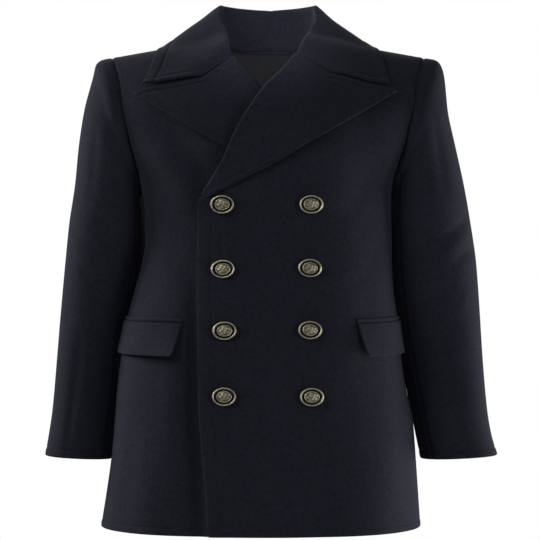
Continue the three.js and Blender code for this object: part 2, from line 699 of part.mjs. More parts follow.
// A point of the neck seam, half from the back and half from the front, on the body form.
function neckSeam(side, at) {
  const shoulderAt = 0.54;
  const sign = side === "left" ? 1 : -1;
  if (at <= shoulderAt) {
    const x = NECK_HALF_WIDTH * Math.sin((Math.PI / 2) * (at / shoulderAt));
    return bodyAt(sign * x, backTop(x), false);
  }
  const share = (at - shoulderAt) / (1 - shoulderAt);
  const gorge = ROLL[side].at(-1);
  const x = lerp(NECK_HALF_WIDTH, gorge.x + ROLL_SETBACK, share);
  return bodyAt(sign * x, lerp(NECK_POINT_Z, gorge.z, share));
}

function collarStation(side, at) {
  const sign = side === "left" ? 1 : -1;
  const value = (column) => collarColumn[column](at);
  const fold = vector(sign * value("foldX"), value("foldY"), value("foldZ"));
  const edge = vector(sign * value("edgeX"), value("edgeY"), value("edgeZ"));
  return { base: neckSeam(side, at), fold, edge };
}

// Keeps a collar point clear of the cloth that it lies on.
function clearOfBody(side, point, clearance) {
  const isUpper = side === "left" && point.y < 0;
  return pushedOut(point, clearance + (isUpper ? upperLift(point.x, point.z) : 0));
}

function collarProfile(side, at) {
  const sign = side === "left" ? 1 : -1;
  const { base, fold, edge } = collarStation(side, at);
  const up = fold.clone().sub(base).normalize().add(fold.clone().sub(edge).normalize()).normalize();
  const outward = edge.clone().sub(base);
  outward.addScaledVector(up, -outward.dot(up)).normalize();
  const radius = COLLAR_FOLD_RADIUS;
  const centre = moved(fold, up, -radius);
  const inside = moved(centre, outward, -radius);
  const baseNormal = bodyNormal(base);
  const intoNeck = inside.clone().sub(base);
  intoNeck.addScaledVector(baseNormal, -intoNeck.dot(baseNormal)).normalize();
  const path = [moved(moved(base, baseNormal, -COLLAR_CLOTH), intoNeck, SEAM_GAP + 0.1)];
  const standFoot = moved(moved(base, outward, -COLLAR_CLOTH - 0.6), up, 4);
  for (const share of [0, 0.33, 0.67]) path.push(along(standFoot, inside, share));
  for (const bend of [180, 135, 90, 45]) {
    const direction = outward.clone().multiplyScalar(Math.cos(radians(bend)));
    path.push(moved(moved(centre, direction, radius), up, radius * Math.sin(radians(bend))));
  }
  const fallStart = moved(centre, outward, radius);
  const { notch } = LAPEL[side];
  const notchPoint = movedOut(bodyAt(sign * (notch.x + 0.5), notch.z + 1.5), COLLAR_CLOTH);
  const frontShare = power((at - 0.6) / 0.4, 1.6);
  for (const share of shares(6)) {
    const point = along(fallStart, edge, share);
    const straightNotch = along(fallStart, edge, 0.4);
    const towardNotch = notchPoint.clone().sub(straightNotch);
    const bendShare = share < 0.4 ? share / 0.4 : (1 - share) / 0.6;
    point.addScaledVector(towardNotch, frontShare * bendShare);
    const bulge = COLLAR_BULGE[side] * (1 - frontShare) * Math.sin(Math.PI * share ** 0.6);
    point.addScaledVector(outward, bulge);
    path.push(clearOfBody(side, point, COLLAR_CLOTH + 0.6));
  }
  return { path, baseNormal };
}

function makeCollar() {
  const stations = [
    ...shares(STEPS.collarHalf).map((v) => ["right", 1 - v]),
    ...shares(STEPS.collarHalf).slice(1).map((v) => ["left", v]),
  ];
  const profiles = stations.map(([side, at]) => collarProfile(side, at));
  const face = profiles.map(({ path }) => path);
  const back = face.map((row, r) =>
    row.map((point, c) => {
      if (c === 0) return moved(point, profiles[r].baseNormal, COLLAR_CLOTH);
      const along1 = face[Math.min(face.length - 1, r + 1)][c].clone();
      along1.sub(face[Math.max(0, r - 1)][c]);
      const across = row[Math.min(row.length - 1, c + 1)].clone().sub(row[c - 1]);
      return moved(point, across.cross(along1).normalize(), -COLLAR_CLOTH);
    }),
  );
  return mesh("collar", wall(face, back), WOOL);
}

// Pockets
function makePocketPiece(name, side, shape, thickness, extra) {
  const sign = side === "left" ? 1 : -1;
  const rows = shares(shape.rows);
  const geometry = panelOnBody(rows, shares(STEPS.flap), thickness, (u, v) => {
    const z = lerp(shape.top, shape.bottom, v);
    const startX = FLAP_FRONT_X[side] + shape.slant * v;
    const start = angleOf(sign * startX, z);
    const point = bodyRound(lerp(start, sign * FLAP.backDeg, u), z);
    const under = lift(`front_${side}`, point.x, point.z);
    return { point, out: under + POCKET_GAP + thickness + extra(u, v) };
  });
  return mesh(name, geometry, WOOL);
}

function makePocket(side) {
  const flapLift = (u, v) => FLAP.stand * v * (0.45 + 0.55 * (1 - u) ** 2);
  const flap = { top: FLAP.top, bottom: FLAP.bottom, slant: FLAP.slant, rows: 4 };
  const welt = { top: WELT.top, bottom: WELT.bottom, slant: 0, rows: 1 };
  return [
    makePocketPiece(`pocket_flap_${side}`, side, flap, FLAP.cloth, flapLift),
    makePocketPiece(`pocket_welt_${side}`, side, welt, WELT.cloth, () => 0),
  ];
}

// Buttons
function makeButton(place, number) {
  const { halfWidth: wide, halfHeight: high, thick, shankRadius, shankLength } = BUTTON;
  const profile = [
    [0, -shankLength],
    [shankRadius, -shankLength],
    [shankRadius, 0],
    [high * 0.93, 0],
    [high, thick * 0.35],
    [high * 0.97, thick * 0.72],
    [high * 0.86, thick * 0.72],
    [high * 0.82, thick * 0.38],
    [high * 0.7, thick * 0.38],
    [high * 0.62, thick * 0.8],
    [0, thick],
  ].map(([r, y]) => new THREE.Vector2(r, y));
  const geometry = new THREE.LatheGeometry(profile, STEPS.button);
  geometry.scale(wide / high, 1, 1);
  const button = mesh(`button_${number}`, geometry, BRASS);
  const foot = bodyAt(place.x, place.z);
  const normal = bodyNormal(foot);
  const out = lift("front_left", place.x, place.z) + SEAM_GAP + shankLength;
  button.position.copy(moved(foot, normal, out));
  const widthWay = vector(1, 0, 0).addScaledVector(normal, -normal.x).normalize();
  const heightWay = widthWay.clone().cross(normal);
  button.quaternion.setFromRotationMatrix(new THREE.Matrix4().makeBasis(widthWay, normal, heightWay));
  return button;
}

const coat = new THREE.Group();
for (const side of ["left", "right"]) {
  coat.add(makeFront(side), makeBack(side), ...makeSleeve(side), makeLapel(side), ...makePocket(side));
}
coat.add(makeCollar(), makeLining());
BUTTON_PLACES.forEach((place, i) => coat.add(makeButton(place, i + 1)));

export default coat;
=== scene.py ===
"""A double-breasted pea coat of navy melton, filled out as worn, in a plain pale studio.

Every cloth piece is a thin closed shell on the form of the construction that the frame holds. The
form's sizes are repeated here in millimetres, as on the pattern, and become metres where a mesh is
made. +Z is up, the coat faces -Y, and +X is the wearer's left.
"""

from __future__ import annotations

import logging
import math
from collections.abc import Callable
from dataclasses import dataclass, field
from enum import Enum
from typing import NamedTuple

import bpy
import numpy as np
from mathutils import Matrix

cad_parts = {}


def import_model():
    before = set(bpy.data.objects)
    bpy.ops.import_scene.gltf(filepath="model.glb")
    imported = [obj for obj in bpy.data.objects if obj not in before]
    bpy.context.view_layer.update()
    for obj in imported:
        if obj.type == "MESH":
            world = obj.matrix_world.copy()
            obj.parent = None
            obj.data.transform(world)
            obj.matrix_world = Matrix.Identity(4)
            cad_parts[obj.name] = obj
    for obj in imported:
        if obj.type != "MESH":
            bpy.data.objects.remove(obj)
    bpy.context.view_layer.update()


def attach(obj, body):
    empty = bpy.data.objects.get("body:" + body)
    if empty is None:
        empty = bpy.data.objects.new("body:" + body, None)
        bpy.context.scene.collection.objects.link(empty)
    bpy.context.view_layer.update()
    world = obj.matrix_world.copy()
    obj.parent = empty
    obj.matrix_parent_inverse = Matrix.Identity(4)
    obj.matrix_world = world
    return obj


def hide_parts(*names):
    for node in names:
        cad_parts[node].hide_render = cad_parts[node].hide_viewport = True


LOG = logging.getLogger("pea_coat")
MM = 0.001
Array = np.ndarray
Place = Callable[[Array, Array], Array]

# Cloth thicknesses and the room between layers
CLOTH = 2.6
FACING = 2.2
COLLAR_CLOTH = 2.8
LINING = 0.8
SEAM_GAP = 0.04
SEAM_LAP = 0.16  # how far both cloths reach past the middle of a seam, which shuts out light
LAYER_GAP = 1.2
LAPEL_GAP = 1.3
LINING_GAP = 2.0
SLEEVE_CLEARANCE = 3.5
FLAP_CLEARANCE = 5.0
POCKET_GAP = 0.7

# Heights and seams of the body
HEM_Z = -703.0
BREAST_Z = -200.0
ROLL_START_Z = -206.0
ROLL_SETBACK = 7.0
SIDE_SEAM_DEG = 96.0
NECK_HALF_WIDTH = 78.0
NECK_POINT_Z = 31.0
SHOULDER_HALF_WIDTH = 236.0
SHOULDER_SLOPE = 0.175
BACK_NECK_DROP = 23.0

# Topstitching, from the edge that it follows
HEM_STITCH = 10.6
CUFF_STITCH = 12.0
FRONT_STITCH = 20.5
LAPEL_STITCH = 11.5
COLLAR_STITCH = 18.0
COLLAR_END_STITCH = 10.0
PRESSED_SEAM = 0.3  # depth of the seam between collar and lapel, beside that of the other seams
INNER_FACING = 55.0  # wool turned to the inside along a front edge, a hem or a cuff
THREAD_LIFT = 0.12  # height of a thread's middle line above the cloth

# Where the upper front lies on more than the form, in x or z
UNDER_LAYER_ENDS = (100.0, 155.0)
LAPEL_LAYER_FOOT = (-262.0, -206.0)
LAPEL_LAYER_ENDS = (62.0, 150.0)
LAPEL_LAYER_TOP = (-50.0, 12.0)

# The free edge of the upper front: how far and how wide it stands off, and from and to which depth
EDGE_STAND_OFF = 5.5
EDGE_WIDE = 22.0
EDGE_DEPTHS = (310.0, 560.0)

SETTLE_TURNS = 4  # rounds in which a height and the x that it depends on settle


def blend(a: Array | float, b: Array | float, share: Array | float) -> Array | float:
    """Goes straight from a to b by a share of the way."""
    return a + (b - a) * share


def smooth(value: Array | float, low: float, high: float) -> Array:
    """Rises softly from 0 at low to 1 at high."""
    t = np.clip((np.asarray(value, float) - low) / (high - low), 0, 1)
    return t * t * (3 - 2 * t)


def bell(distance: Array, wide: float) -> Array:
    """A soft hump that is 1 at no distance and dies out past its width."""
    return np.exp(-((distance / wide) ** 2))


def unit(vectors: Array) -> Array:
    """Scales each vector to a length of 1."""
    return vectors / np.maximum(np.linalg.norm(vectors, axis=-1, keepdims=True), 1e-12)


def points(x: Array, y: Array, z: Array) -> Array:
    """Joins three arrays of coordinates into one array of points."""
    return np.stack(np.broadcast_arrays(x, y, z), axis=-1).astype(float)


class Side(Enum):
    """A side of the coat, as its wearer has it."""

    LEFT = "left"
    RIGHT = "right"

    @property
    def sign(self) -> int:
        """+1 on the wearer's left and -1 on the right."""
        return 1 if self is Side.LEFT else -1


class Curve:
    """A smooth value through the rows of a table, with no overshoot between them."""

    def __init__(self, keys: list[float], values: list[float]) -> None:
        """Takes the rows in any order.

        Args:
            keys: where each row stands.
            values: the value at each row.
        """
        order = np.argsort(keys)
        self.keys = np.asarray(keys, float)[order]
        self.values = np.asarray(values, float)[order]
        slope = np.diff(self.values) / np.diff(self.keys)
        before, after = slope[:-1], slope[1:]
        total = before + after
        mean = 2 * before * after / np.where(total == 0, 1, total)
        inner = np.where(before * after <= 0, 0, mean)
        self.tangents = np.concatenate([slope[:1], inner, slope[-1:]])

    def __call__(self, at: Array | float) -> Array:
        """Gives the value at each place, straight on past the ends of the table."""
        at = np.asarray(at, float)
        k, v, tangent = self.keys, self.values, self.tangents
        i = np.clip(np.searchsorted(k, at) - 1, 0, len(k) - 2)
        span = k[i + 1] - k[i]
        t = np.clip((at - k[i]) / span, 0, 1)
        value = v[i] + (v[i + 1] - v[i]) * t * t * (3 - 2 * t)
        value = value + span * (t * (1 - t) ** 2 * tangent[i] + t * t * (t - 1) * tangent[i + 1])
        under = np.minimum(at - k[0], 0) * tangent[0]
        over = np.maximum(at - k[-1], 0) * tangent[-1]
        return value + under + over


class Section(NamedTuple):
    """A level cross-section of the body: half widths, and depths from the middle line."""

    z: float
    right: float
    left: float
    front: float
    back: float
    middle: float = 0.0


BODY_SECTIONS = (
    Section(z=-703, right=252, left=230, front=165, back=150),
    Section(z=-650, right=243.5, left=226.5, front=162, back=149),
    Section(z=-600, right=236.6, left=223.3, front=158, back=146),
    Section(z=-545, right=231.8, left=219, front=153, back=142),
    Section(z=-495, right=228, left=208.5, front=149, back=137),
    Section(z=-447, right=222, left=201, front=144, back=130),
    Section(z=-395, right=214, left=196.5, front=138, back=121),
    Section(z=-344, right=200.5, left=189.5, front=131, back=111),
    Section(z=-309, right=191.2, left=187.7, front=127, back=105),
    Section(z=-274, right=186, left=187.5, front=124, back=101),
    Section(z=-239, right=187, left=187, front=123, back=102),
    Section(z=-200, right=192, left=188, front=124, back=108),
    Section(z=-155, right=211, left=209, front=124, back=118),
    Section(z=-120, right=231, left=230, front=120, back=122, middle=1),
    Section(z=-80, right=247, left=246, front=113, back=121, middle=3),
    Section(z=-30, right=256, left=256, front=98, back=110, middle=6),
    Section(z=4, right=265, left=265, front=87, back=100, middle=8),
    Section(z=45, right=275, left=275, front=75, back=88, middle=8),
)


@dataclass(frozen=True)
class Crease:
    """One soft crease of the cloth: a ridge where it stands out, a trough where out is negative."""

    start: tuple[float, float]
    end: tuple[float, float]
    wide: float
    out: float
    bow: float = 0.0

    def lift(self, a: Array, b: Array) -> Array:
        """How far the crease moves the cloth out.

        Args:
            a: first coordinate of each place on the cloth.
            b: second coordinate.

        Returns:
            The height at each place.
        """
        run = (self.end[0] - self.start[0], self.end[1] - self.start[1])
        length = math.hypot(*run)
        way = (run[0] / length, run[1] / length)
        along = (a - self.start[0]) * way[0] + (b - self.start[1]) * way[1]
        across = (b - self.start[1]) * way[0] - (a - self.start[0]) * way[1]
        share = along / length
        bowed = across - self.bow * np.sin(np.pi * np.clip(share, 0, 1))
        ends = smooth(share, -0.12, 0.3) * (1 - smooth(share, 0.62, 1.12))
        return self.out * bell(bowed, self.wide) * ends


@dataclass(frozen=True)
class Fold:
    """A long fold that grows from a height down to the hem."""

    x: float
    wide: float
    top: float
    bottom: float
    out: float

    def lift(self, x: Array, z: Array) -> Array:
        """How far the fold moves the cloth out at each place."""
        return self.out * bell(x - self.x, self.wide) * smooth(-z, -self.top, -self.bottom)


FRONT_FOLDS = (
    Fold(x=-125, wide=26, top=-330, bottom=-760, out=-6),
    Fold(x=-178, wide=26, top=-470, bottom=-760, out=4),
    Fold(x=75, wide=34, top=-430, bottom=-760, out=-3.5),
    Fold(x=155, wide=40, top=-420, bottom=-760, out=6),
)
BACK_FOLDS = (
    Fold(x=-95, wide=38, top=-380, bottom=-760, out=6),
    Fold(x=88, wide=34, top=-400, bottom=-760, out=5.5),
    Fold(x=8, wide=30, top=-430, bottom=-760, out=-4),
)
# Creases of the body, as x and z of their ends seen from the front
FRONT_CREASES = (
    Crease(start=(-184, -150), end=(-110, -262), wide=15, out=-1.3, bow=6),
    Crease(start=(-178, -128), end=(-112, -240), wide=20, out=4.2, bow=8),
    Crease(start=(-172, -84), end=(-84, -220), wide=17, out=-4.6, bow=14),
    Crease(start=(-168, -236), end=(-112, -330), wide=13, out=-1.1, bow=-7),
    Crease(start=(-160, -300), end=(-112, -372), wide=16, out=1.1, bow=-5),
    Crease(start=(168, -160), end=(112, -250), wide=15, out=-1.3, bow=-6),
    Crease(start=(152, -225), end=(96, -292), wide=13, out=0.9, bow=-5),
    Crease(start=(172, -258), end=(122, -352), wide=12, out=-1.0, bow=6),
    Crease(start=(-150, -470), end=(-158, -640), wide=17, out=1.5, bow=5),
    Crease(start=(-196, -520), end=(-214, -690), wide=14, out=-1.8, bow=3),
    Crease(start=(112, -470), end=(118, -660), wide=19, out=-1.6, bow=-6),
    Crease(start=(190, -480), end=(204, -680), wide=15, out=-1.6, bow=4),
    Crease(start=(6, -520), end=(14, -700), wide=26, out=1.2, bow=6),
    Crease(start=(-58, -560), end=(-52, -690), wide=16, out=-0.8, bow=-3),
)
# Creases of the under front alone, beside the edge that laps over it
UNDER_CREASES = (
    Crease(start=(-110, -330), end=(-94, -800), wide=13, out=-9.5, bow=-2),
    Crease(start=(-142, -400), end=(-138, -800), wide=15, out=2.4, bow=3),
)
BACK_CREASES = (
    Crease(start=(-165, -120), end=(-92, -232), wide=17, out=-2.0, bow=-9),
    Crease(start=(-150, -182), end=(-84, -268), wide=15, out=1.5, bow=-7),
    Crease(start=(168, -128), end=(98, -226), wide=16, out=-1.8, bow=8),
    Crease(start=(146, -176), end=(76, -274), wide=14, out=1.4, bow=6),
    Crease(start=(-128, -262), end=(-44, -318), wide=13, out=-1.3, bow=6),
    Crease(start=(122, -270), end=(40, -306), wide=12, out=-1.2, bow=-5),
    Crease(start=(-70, -48), end=(72, -52), wide=13, out=-1.4, bow=9),
    Crease(start=(-48, -470), end=(-56, -690), wide=20, out=-2.4, bow=7),
    Crease(start=(128, -480), end=(142, -700), wide=22, out=-2.2, bow=-6),
    Crease(start=(-152, -460), end=(-160, -680), wide=21, out=-2.0, bow=5),
    Crease(start=(44, -500), end=(50, -700), wide=18, out=1.3, bow=4),
    Crease(start=(-188, -430), end=(-206, -640), wide=17, out=1.6, bow=-5),
)


class BodyForm:
    """The rounded form that the fronts, the back and what lies on them follow."""

    roundness = 2.3
    back_fall = 120.0
    front_fall = (165.0, 95.0)  # at the neck and at the shoulder tip

    def __init__(self) -> None:
        """Reads the cross-sections into curves of height."""
        heights = [row.z for row in BODY_SECTIONS]
        self.curve = {
            name: Curve(heights, [getattr(row, name) for row in BODY_SECTIONS])
            for name in ("right", "left", "front", "back", "middle")
        }

    def half_width(self, x: Array, z: Array) -> Array:
        """Half width of the body at a height, on the side that x lies on."""
        return np.where(np.asarray(x) < 0, self.curve["right"](z), self.curve["left"](z))

    @staticmethod
    def shoulder_line(x: Array | float) -> Array:
        """Height of the shoulder seam's line above each x."""
        return NECK_POINT_Z + (NECK_HALF_WIDTH - np.abs(x)) * SHOULDER_SLOPE

    def depth_left(self, x: Array, z: Array, is_front: Array | bool) -> Array:
        """Share of the body's depth that is left near the shoulders, to the power of its roundness."""
        out = np.minimum(1, np.abs(x) / SHOULDER_HALF_WIDTH) ** 1.5
        front = blend(self.front_fall[0], self.front_fall[1], out)
        fall = np.where(is_front, front, self.back_fall)
        below = np.minimum(1, (self.shoulder_line(x) - z) / fall)
        rest = np.maximum(1 - below, 0) ** self.roundness
        return 1 - rest

    def at(self, x: Array, z: Array, is_front: Array | bool = True) -> Array:
        """Points of the form at places seen from the front.

        Args:
            x: across the coat.
            z: height.
            is_front: whether the point is on the front or on the back.

        Returns:
            An array of points.
        """
        x, z = np.broadcast_arrays(np.asarray(x, float), np.asarray(z, float))
        across = 1 - (np.abs(x) / self.half_width(x, z)) ** self.roundness
        left = np.maximum(across * self.depth_left(x, z, is_front), 0) ** (1 / self.roundness)
        reach = np.where(is_front, -self.curve["front"](z), self.curve["back"](z))
        return points(x, self.curve["middle"](z) + left * reach, z)

    def round_x(self, deg: Array, z: Array) -> Array:
        """x of the form at an angle from the front centre."""
        sine = np.sin(np.radians(deg))
        width = self.half_width(sine, z)
        return np.sign(sine) * width * np.abs(sine) ** (2 / self.roundness)

    def round(self, deg: Array, z: Array) -> Array:
        """Points of the form at an angle from the front centre, positive to the wearer's left."""
        deg, z = np.broadcast_arrays(np.asarray(deg, float), np.asarray(z, float))
        x = self.round_x(deg, z)
        cosine = np.cos(np.radians(deg))
        is_front = cosine > 0
        left = np.maximum(self.depth_left(x, z, is_front), 0) ** (1 / self.roundness)
        reach = np.where(is_front, -self.curve["front"](z), self.curve["back"](z))
        depth = np.abs(cosine) ** (2 / self.roundness) * left
        return points(x, self.curve["middle"](z) + depth * reach, z)

    def angle_of(self, x: Array, z: Array) -> Array:
        """Angle from the front centre of a place on the front."""
        share = np.minimum(1, np.abs(x) / self.half_width(x, z)) ** (self.roundness / 2)
        return np.sign(x) * np.degrees(np.arcsin(share))

    def level(self, place: Array) -> Array:
        """Zero on the form, negative inside it."""
        x, y, z = place[..., 0], place[..., 1], place[..., 2]
        middle = self.curve["middle"](z)
        is_front = y < middle
        depth = np.where(is_front, self.curve["front"](z), self.curve["back"](z))
        across = 1 - (np.abs(x) / self.half_width(x, z)) ** self.roundness
        out = (np.abs(y - middle) / depth) ** self.roundness
        return out - across * self.depth_left(x, z, is_front)

    def gradient(self, place: Array) -> Array:
        """Slope of the level at each point."""
        step = 0.02
        slopes = []
        for axis in range(3):
            nudge = np.zeros(3)
            nudge[axis] = step
            slopes.append((self.level(place + nudge) - self.level(place - nudge)) / (2 * step))
        return np.stack(slopes, axis=-1)

    def normal(self, place: Array) -> Array:
        """Outward direction of the form at each point."""
        return unit(self.gradient(place))

    def pushed_out(self, place: Array, wanted: Array, share: Array | float, soft: Array) -> Array:
        """Moves points that are too near to the form out to a distance.

        Args:
            place: the points.
            wanted: the distance that each should keep.
            share: how much of the way each goes.
            soft: reach over which points just beyond that distance give way too.

        Returns:
            The moved points.
        """
        for turn in range(3):
            gradient = self.gradient(place)
            size = np.maximum(np.linalg.norm(gradient, axis=-1), 1e-9)
            short = wanted - self.level(place) / size
            reach = soft if turn == 0 else np.zeros_like(short)
            eased = np.maximum(short + reach, 0) ** 2 / np.where(reach == 0, 1, 4 * reach)
            push = np.where(short >= reach, short, eased)
            place = place + (gradient / size[..., None]) * (push * share)[..., None]
        return place


FORM = BodyForm()


def surface_lift(is_front: bool, x: Array, z: Array) -> Array:
    """How far the folds and creases of a front or the back move its cloth out."""
    shapes = (FRONT_FOLDS + FRONT_CREASES) if is_front else (BACK_FOLDS + BACK_CREASES)
    return sum(shape.lift(x, z) for shape in shapes)


def edge_lift(x: Array, z: Array) -> Array:
    """How far the free edge of the upper front stands off, more and more towards the hem."""
    from_edge = x - LEFT_EDGE(z)
    return EDGE_STAND_OFF * bell(from_edge, EDGE_WIDE) * smooth(-z, *EDGE_DEPTHS)


def upper_lift(x: Array, z: Array) -> Array:
    """How far the upper front stands off the form: over the under front, and more over its lapel."""
    over_under = 1 - smooth(x, *UNDER_LAYER_ENDS)
    beside_lapel, above_lapel = smooth(x, *LAPEL_LAYER_ENDS), smooth(z, *LAPEL_LAYER_TOP)
    over_lapel = smooth(z, *LAPEL_LAYER_FOOT) * (1 - beside_lapel) * (1 - above_lapel)
    layers = (CLOTH + LAYER_GAP) * over_under + 2 * (FACING + LAPEL_GAP) * over_lapel
    return layers + edge_lift(x, z)


def front_lift(side: Side, x: Array, z: Array) -> Array:
    """Height of a front's outer face above the form."""
    own = upper_lift(x, z) if side is Side.LEFT else sum(crease.lift(x, z) for crease in UNDER_CREASES)
    return own + surface_lift(True, x, z)


def on_front(x: Array, z: Array, out: Array | float) -> tuple[Array, Array]:
    """Points above the left front's face, and the outward direction there.

    Args:
        x: across the coat.
        z: height.
        out: distance above the face.

    Returns:
        The points and the directions.
    """
    base = FORM.at(x, z)
    normal = FORM.normal(base)
    height = front_lift(Side.LEFT, np.asarray(x, float), np.asarray(z, float)) + out
    return base + normal * np.asarray(height)[..., None], normal


class EdgeKind(Enum):
    """What a maker does with an edge of a piece."""

    FREE = "turned and pressed"
    SEWN = "sewn to its neighbour"
    CUT = "left flat"


# Distances from an edge that have a line of points, for each way to finish it
CUT_FAN = (0.0, 3.0)
SEWN_FAN = (0.0, 0.5, 1.1, 1.9, 3.0, 4.6, 7.0)
FREE_FAN = (0.0, 0.12, 0.45, 0.9, 1.5, 2.6, 4.0, 6.0)


@dataclass(frozen=True)
class Edge:
    """One edge of a piece of cloth."""

    kind: EdgeKind = EdgeKind.SEWN
    stitch: float = 0.0

    def fan(self) -> list[float]:
        """Distances from the edge that have a line of points, closest where the form is finest."""
        if self.kind is EdgeKind.CUT:
            return list(CUT_FAN)
        if self.kind is EdgeKind.SEWN:
            return list(SEWN_FAN)
        near = list(FREE_FAN)
        if not self.stitch:
            return near + [8.5]
        s = self.stitch
        gap = s - 1.6 - near[-1]
        steps = max(1, round(gap / 2))
        between = [near[-1] + gap * (i + 1) / steps for i in range(steps)]
        return near + between + [s - 0.8, s, s + 0.8, s + 1.7, s + 3.4]

    def stitch_line(self) -> int:
        """Which line of points the topstitching follows."""
        return self.fan().index(self.stitch)

    def half(self, distance: Array, thickness: float) -> Array:
        """Share of the cloth's half thickness that is left at each distance from the edge."""
        if self.kind is not EdgeKind.FREE:
            return np.ones_like(distance)
        x = np.clip(distance / (thickness / 2), 0, 1)
        return np.maximum(np.sqrt(1 - (1 - x) ** 2), 0.1)

    def relief(self, distance: Array) -> Array:
        """Height of the face near the edge: a sunken seam, or a soft roll inside the stitching."""
        if self.kind is EdgeKind.CUT:
            return np.zeros_like(distance)
        if self.kind is EdgeKind.SEWN:
            return 0.35 * bell(distance - 5, 3.2) - 1.25 * bell(distance, 2.1)
        if not self.stitch:
            return 0.15 * bell(distance - 3, 2.5)
        within = np.clip(distance / self.stitch, 0, 1)
        roll = 0.5 * np.sin(np.pi * within) ** 0.8
        return roll - 0.75 * bell(distance - self.stitch, 1.25)


@dataclass(frozen=True)
class Edges:
    """The four edges of a piece: where u is low and high, and where v is low and high."""

    left: Edge = Edge()
    right: Edge = Edge()
    low: Edge = Edge()
    high: Edge = Edge()


@dataclass
class Lattice:
    """Places on a piece, with each one's distance from the four edges along the cloth."""

    u: Array
    v: Array
    left: Array
    right: Array
    low: Array
    high: Array


def run_length(path: Array, axis: int) -> Array:
    """Distance along an array of points, from its start."""
    steps = np.linalg.norm(np.diff(path, axis=axis), axis=-1)
    shape = list(steps.shape)
    shape[axis] = 1
    return np.concatenate([np.zeros(shape), np.cumsum(steps, axis=axis)], axis=axis)


def ladder(total: Array, low: Edge, high: Edge, spacing: float) -> Array:
    """Distances along strips of cloth: close near both edges and even between.

    Args:
        total: length of each strip.
        low: the edge that the strips start from.
        high: the edge that they end at.
        spacing: distance between the lines in the middle.

    Returns:
        An array with a row for each line and a column for each strip.
    """
    near = np.array(low.fan())[:, None]
    far = np.array(high.fan())[::-1, None]
    reach = near[-1, 0] + far[0, 0]
    squeeze = np.minimum(1, 0.85 * total / reach)[None, :]
    steps = max(2, round((float(np.mean(total)) - reach) / spacing))
    middle = np.linspace(0, 1, steps + 1)[1:-1, None]
    start = near[-1] * squeeze
    end = total[None, :] - far[0] * squeeze
    return np.concatenate([near * squeeze, start + middle * (end - start), total - far * squeeze])


def lattice(
    place: Place,
    edges: Edges,
    spacing: tuple[float, float],
    u_range: tuple[float, float] = (0, 1),
    v_range: tuple[float, float] = (0, 1),
) -> Lattice:
    """Spreads points over a piece at true distances along its cloth.

    Args:
        place: gives the piece's points from u and v.
        edges: the piece's edges.
        spacing: distance between points across and along the piece.
        u_range: where u starts and ends.
        v_range: where v starts and ends.

    Returns:
        The places and their distances from the edges.
    """
    us = np.linspace(*u_range, 121)
    vs = np.linspace(*v_range, 221)
    grid_u, grid_v = np.meshgrid(us, vs)
    down = run_length(place(grid_u, grid_v), 0)
    rows = ladder(down[-1], edges.low, edges.high, spacing[1])
    row_v = np.stack([np.interp(rows[:, i], down[:, i], vs) for i in range(len(us))], axis=1)
    across = run_length(place(np.broadcast_to(us, row_v.shape), row_v), 1)
    total = across[:, -1]
    columns = ladder(total, edges.left, edges.right, spacing[0]).T
    count = range(len(row_v))
    u = np.stack([np.interp(columns[k], across[k], us) for k in count])
    v = np.stack([np.interp(u[k], us, row_v[k]) for k in count])
    low = np.stack([np.interp(u[k], us, rows[k]) for k in count])
    high = np.stack([np.interp(u[k], us, down[-1] - rows[k]) for k in count])
    return Lattice(u=u, v=v, left=columns, right=total[:, None] - columns, low=low, high=high)


@dataclass
class Shell:
    """A piece of cloth as two grids of points, its face and its back."""

    face: Array
    back: Array
    normal: Array
    edge: Array
    inside_wool: Array

    @property
    def lifted(self) -> Array:
        """The face's points, raised to where a thread's middle line lies on it."""
        return self.face + self.normal * THREAD_LIFT

    def line(self, row: int | None = None, column: int | None = None) -> Array:
        """A line of points on the face, where topstitching sinks in."""
        return self.lifted[row] if row is not None else self.lifted[:, column]

    def beside(self, other: Shell) -> Shell:
        """This shell and another one that goes on from its last column."""
        grids = ("face", "back", "normal", "edge", "inside_wool")
        pairs = {name: (getattr(self, name), getattr(other, name)) for name in grids}
        return Shell(**{name: np.concatenate(pair, axis=1) for name, pair in pairs.items()})


def make_shell(
    base: Array,
    normal: Array,
    out: Array | float,
    spots: Lattice,
    edges: Edges,
    thickness: float,
    turned_part: dict[str, Array] | None = None,
) -> Shell:
    """Gives the cloth its thickness, its rounded edges, its seams and the groove of its stitching.

    Args:
        base: points of the form.
        normal: outward directions.
        out: height of the cloth's outer face.
        spots: where the points lie on the piece.
        edges: how the piece's edges are finished.
        thickness: of the cloth.
        turned_part: for an edge that is turned only in part and sewn elsewhere, where it is, from 0 to 1.

    Returns:
        The shell.
    """
    half = np.ones_like(spots.u)
    relief = np.zeros_like(spots.u)
    nearest = turned = np.full_like(spots.u, np.inf)
    for name in ("left", "right", "low", "high"):
        edge = getattr(edges, name)
        distance = getattr(spots, name)
        part = (turned_part or {}).get(name, 1.0)
        half = half * (1 + (edge.half(distance, thickness) - 1) * part)
        relief = relief + edge.relief(distance) * part + PRESSED_SEAM * Edge().relief(distance) * (1 - part)
        if edge.kind is EdgeKind.FREE:
            turned = np.minimum(turned, distance)
        nearest = np.minimum(nearest, distance)
    middle = out - thickness / 2
    outer = (middle + half * thickness / 2 + relief * half)[..., None]
    inner = (middle - half * thickness / 2)[..., None]
    return Shell(
        face=base + normal * outer,
        back=base + normal * inner,
        normal=normal,
        edge=bell(nearest, 7),
        inside_wool=turned < INNER_FACING,
    )


def grid_faces(rows: int, columns: int, start: int = 0) -> Array:
    """Quads over a grid of points that are numbered row by row."""
    ids = start + np.arange(rows * columns).reshape(rows, columns)
    quads = (ids[:-1, :-1], ids[:-1, 1:], ids[1:, 1:], ids[1:, :-1])
    return np.stack(quads, axis=-1).reshape(-1, 4)


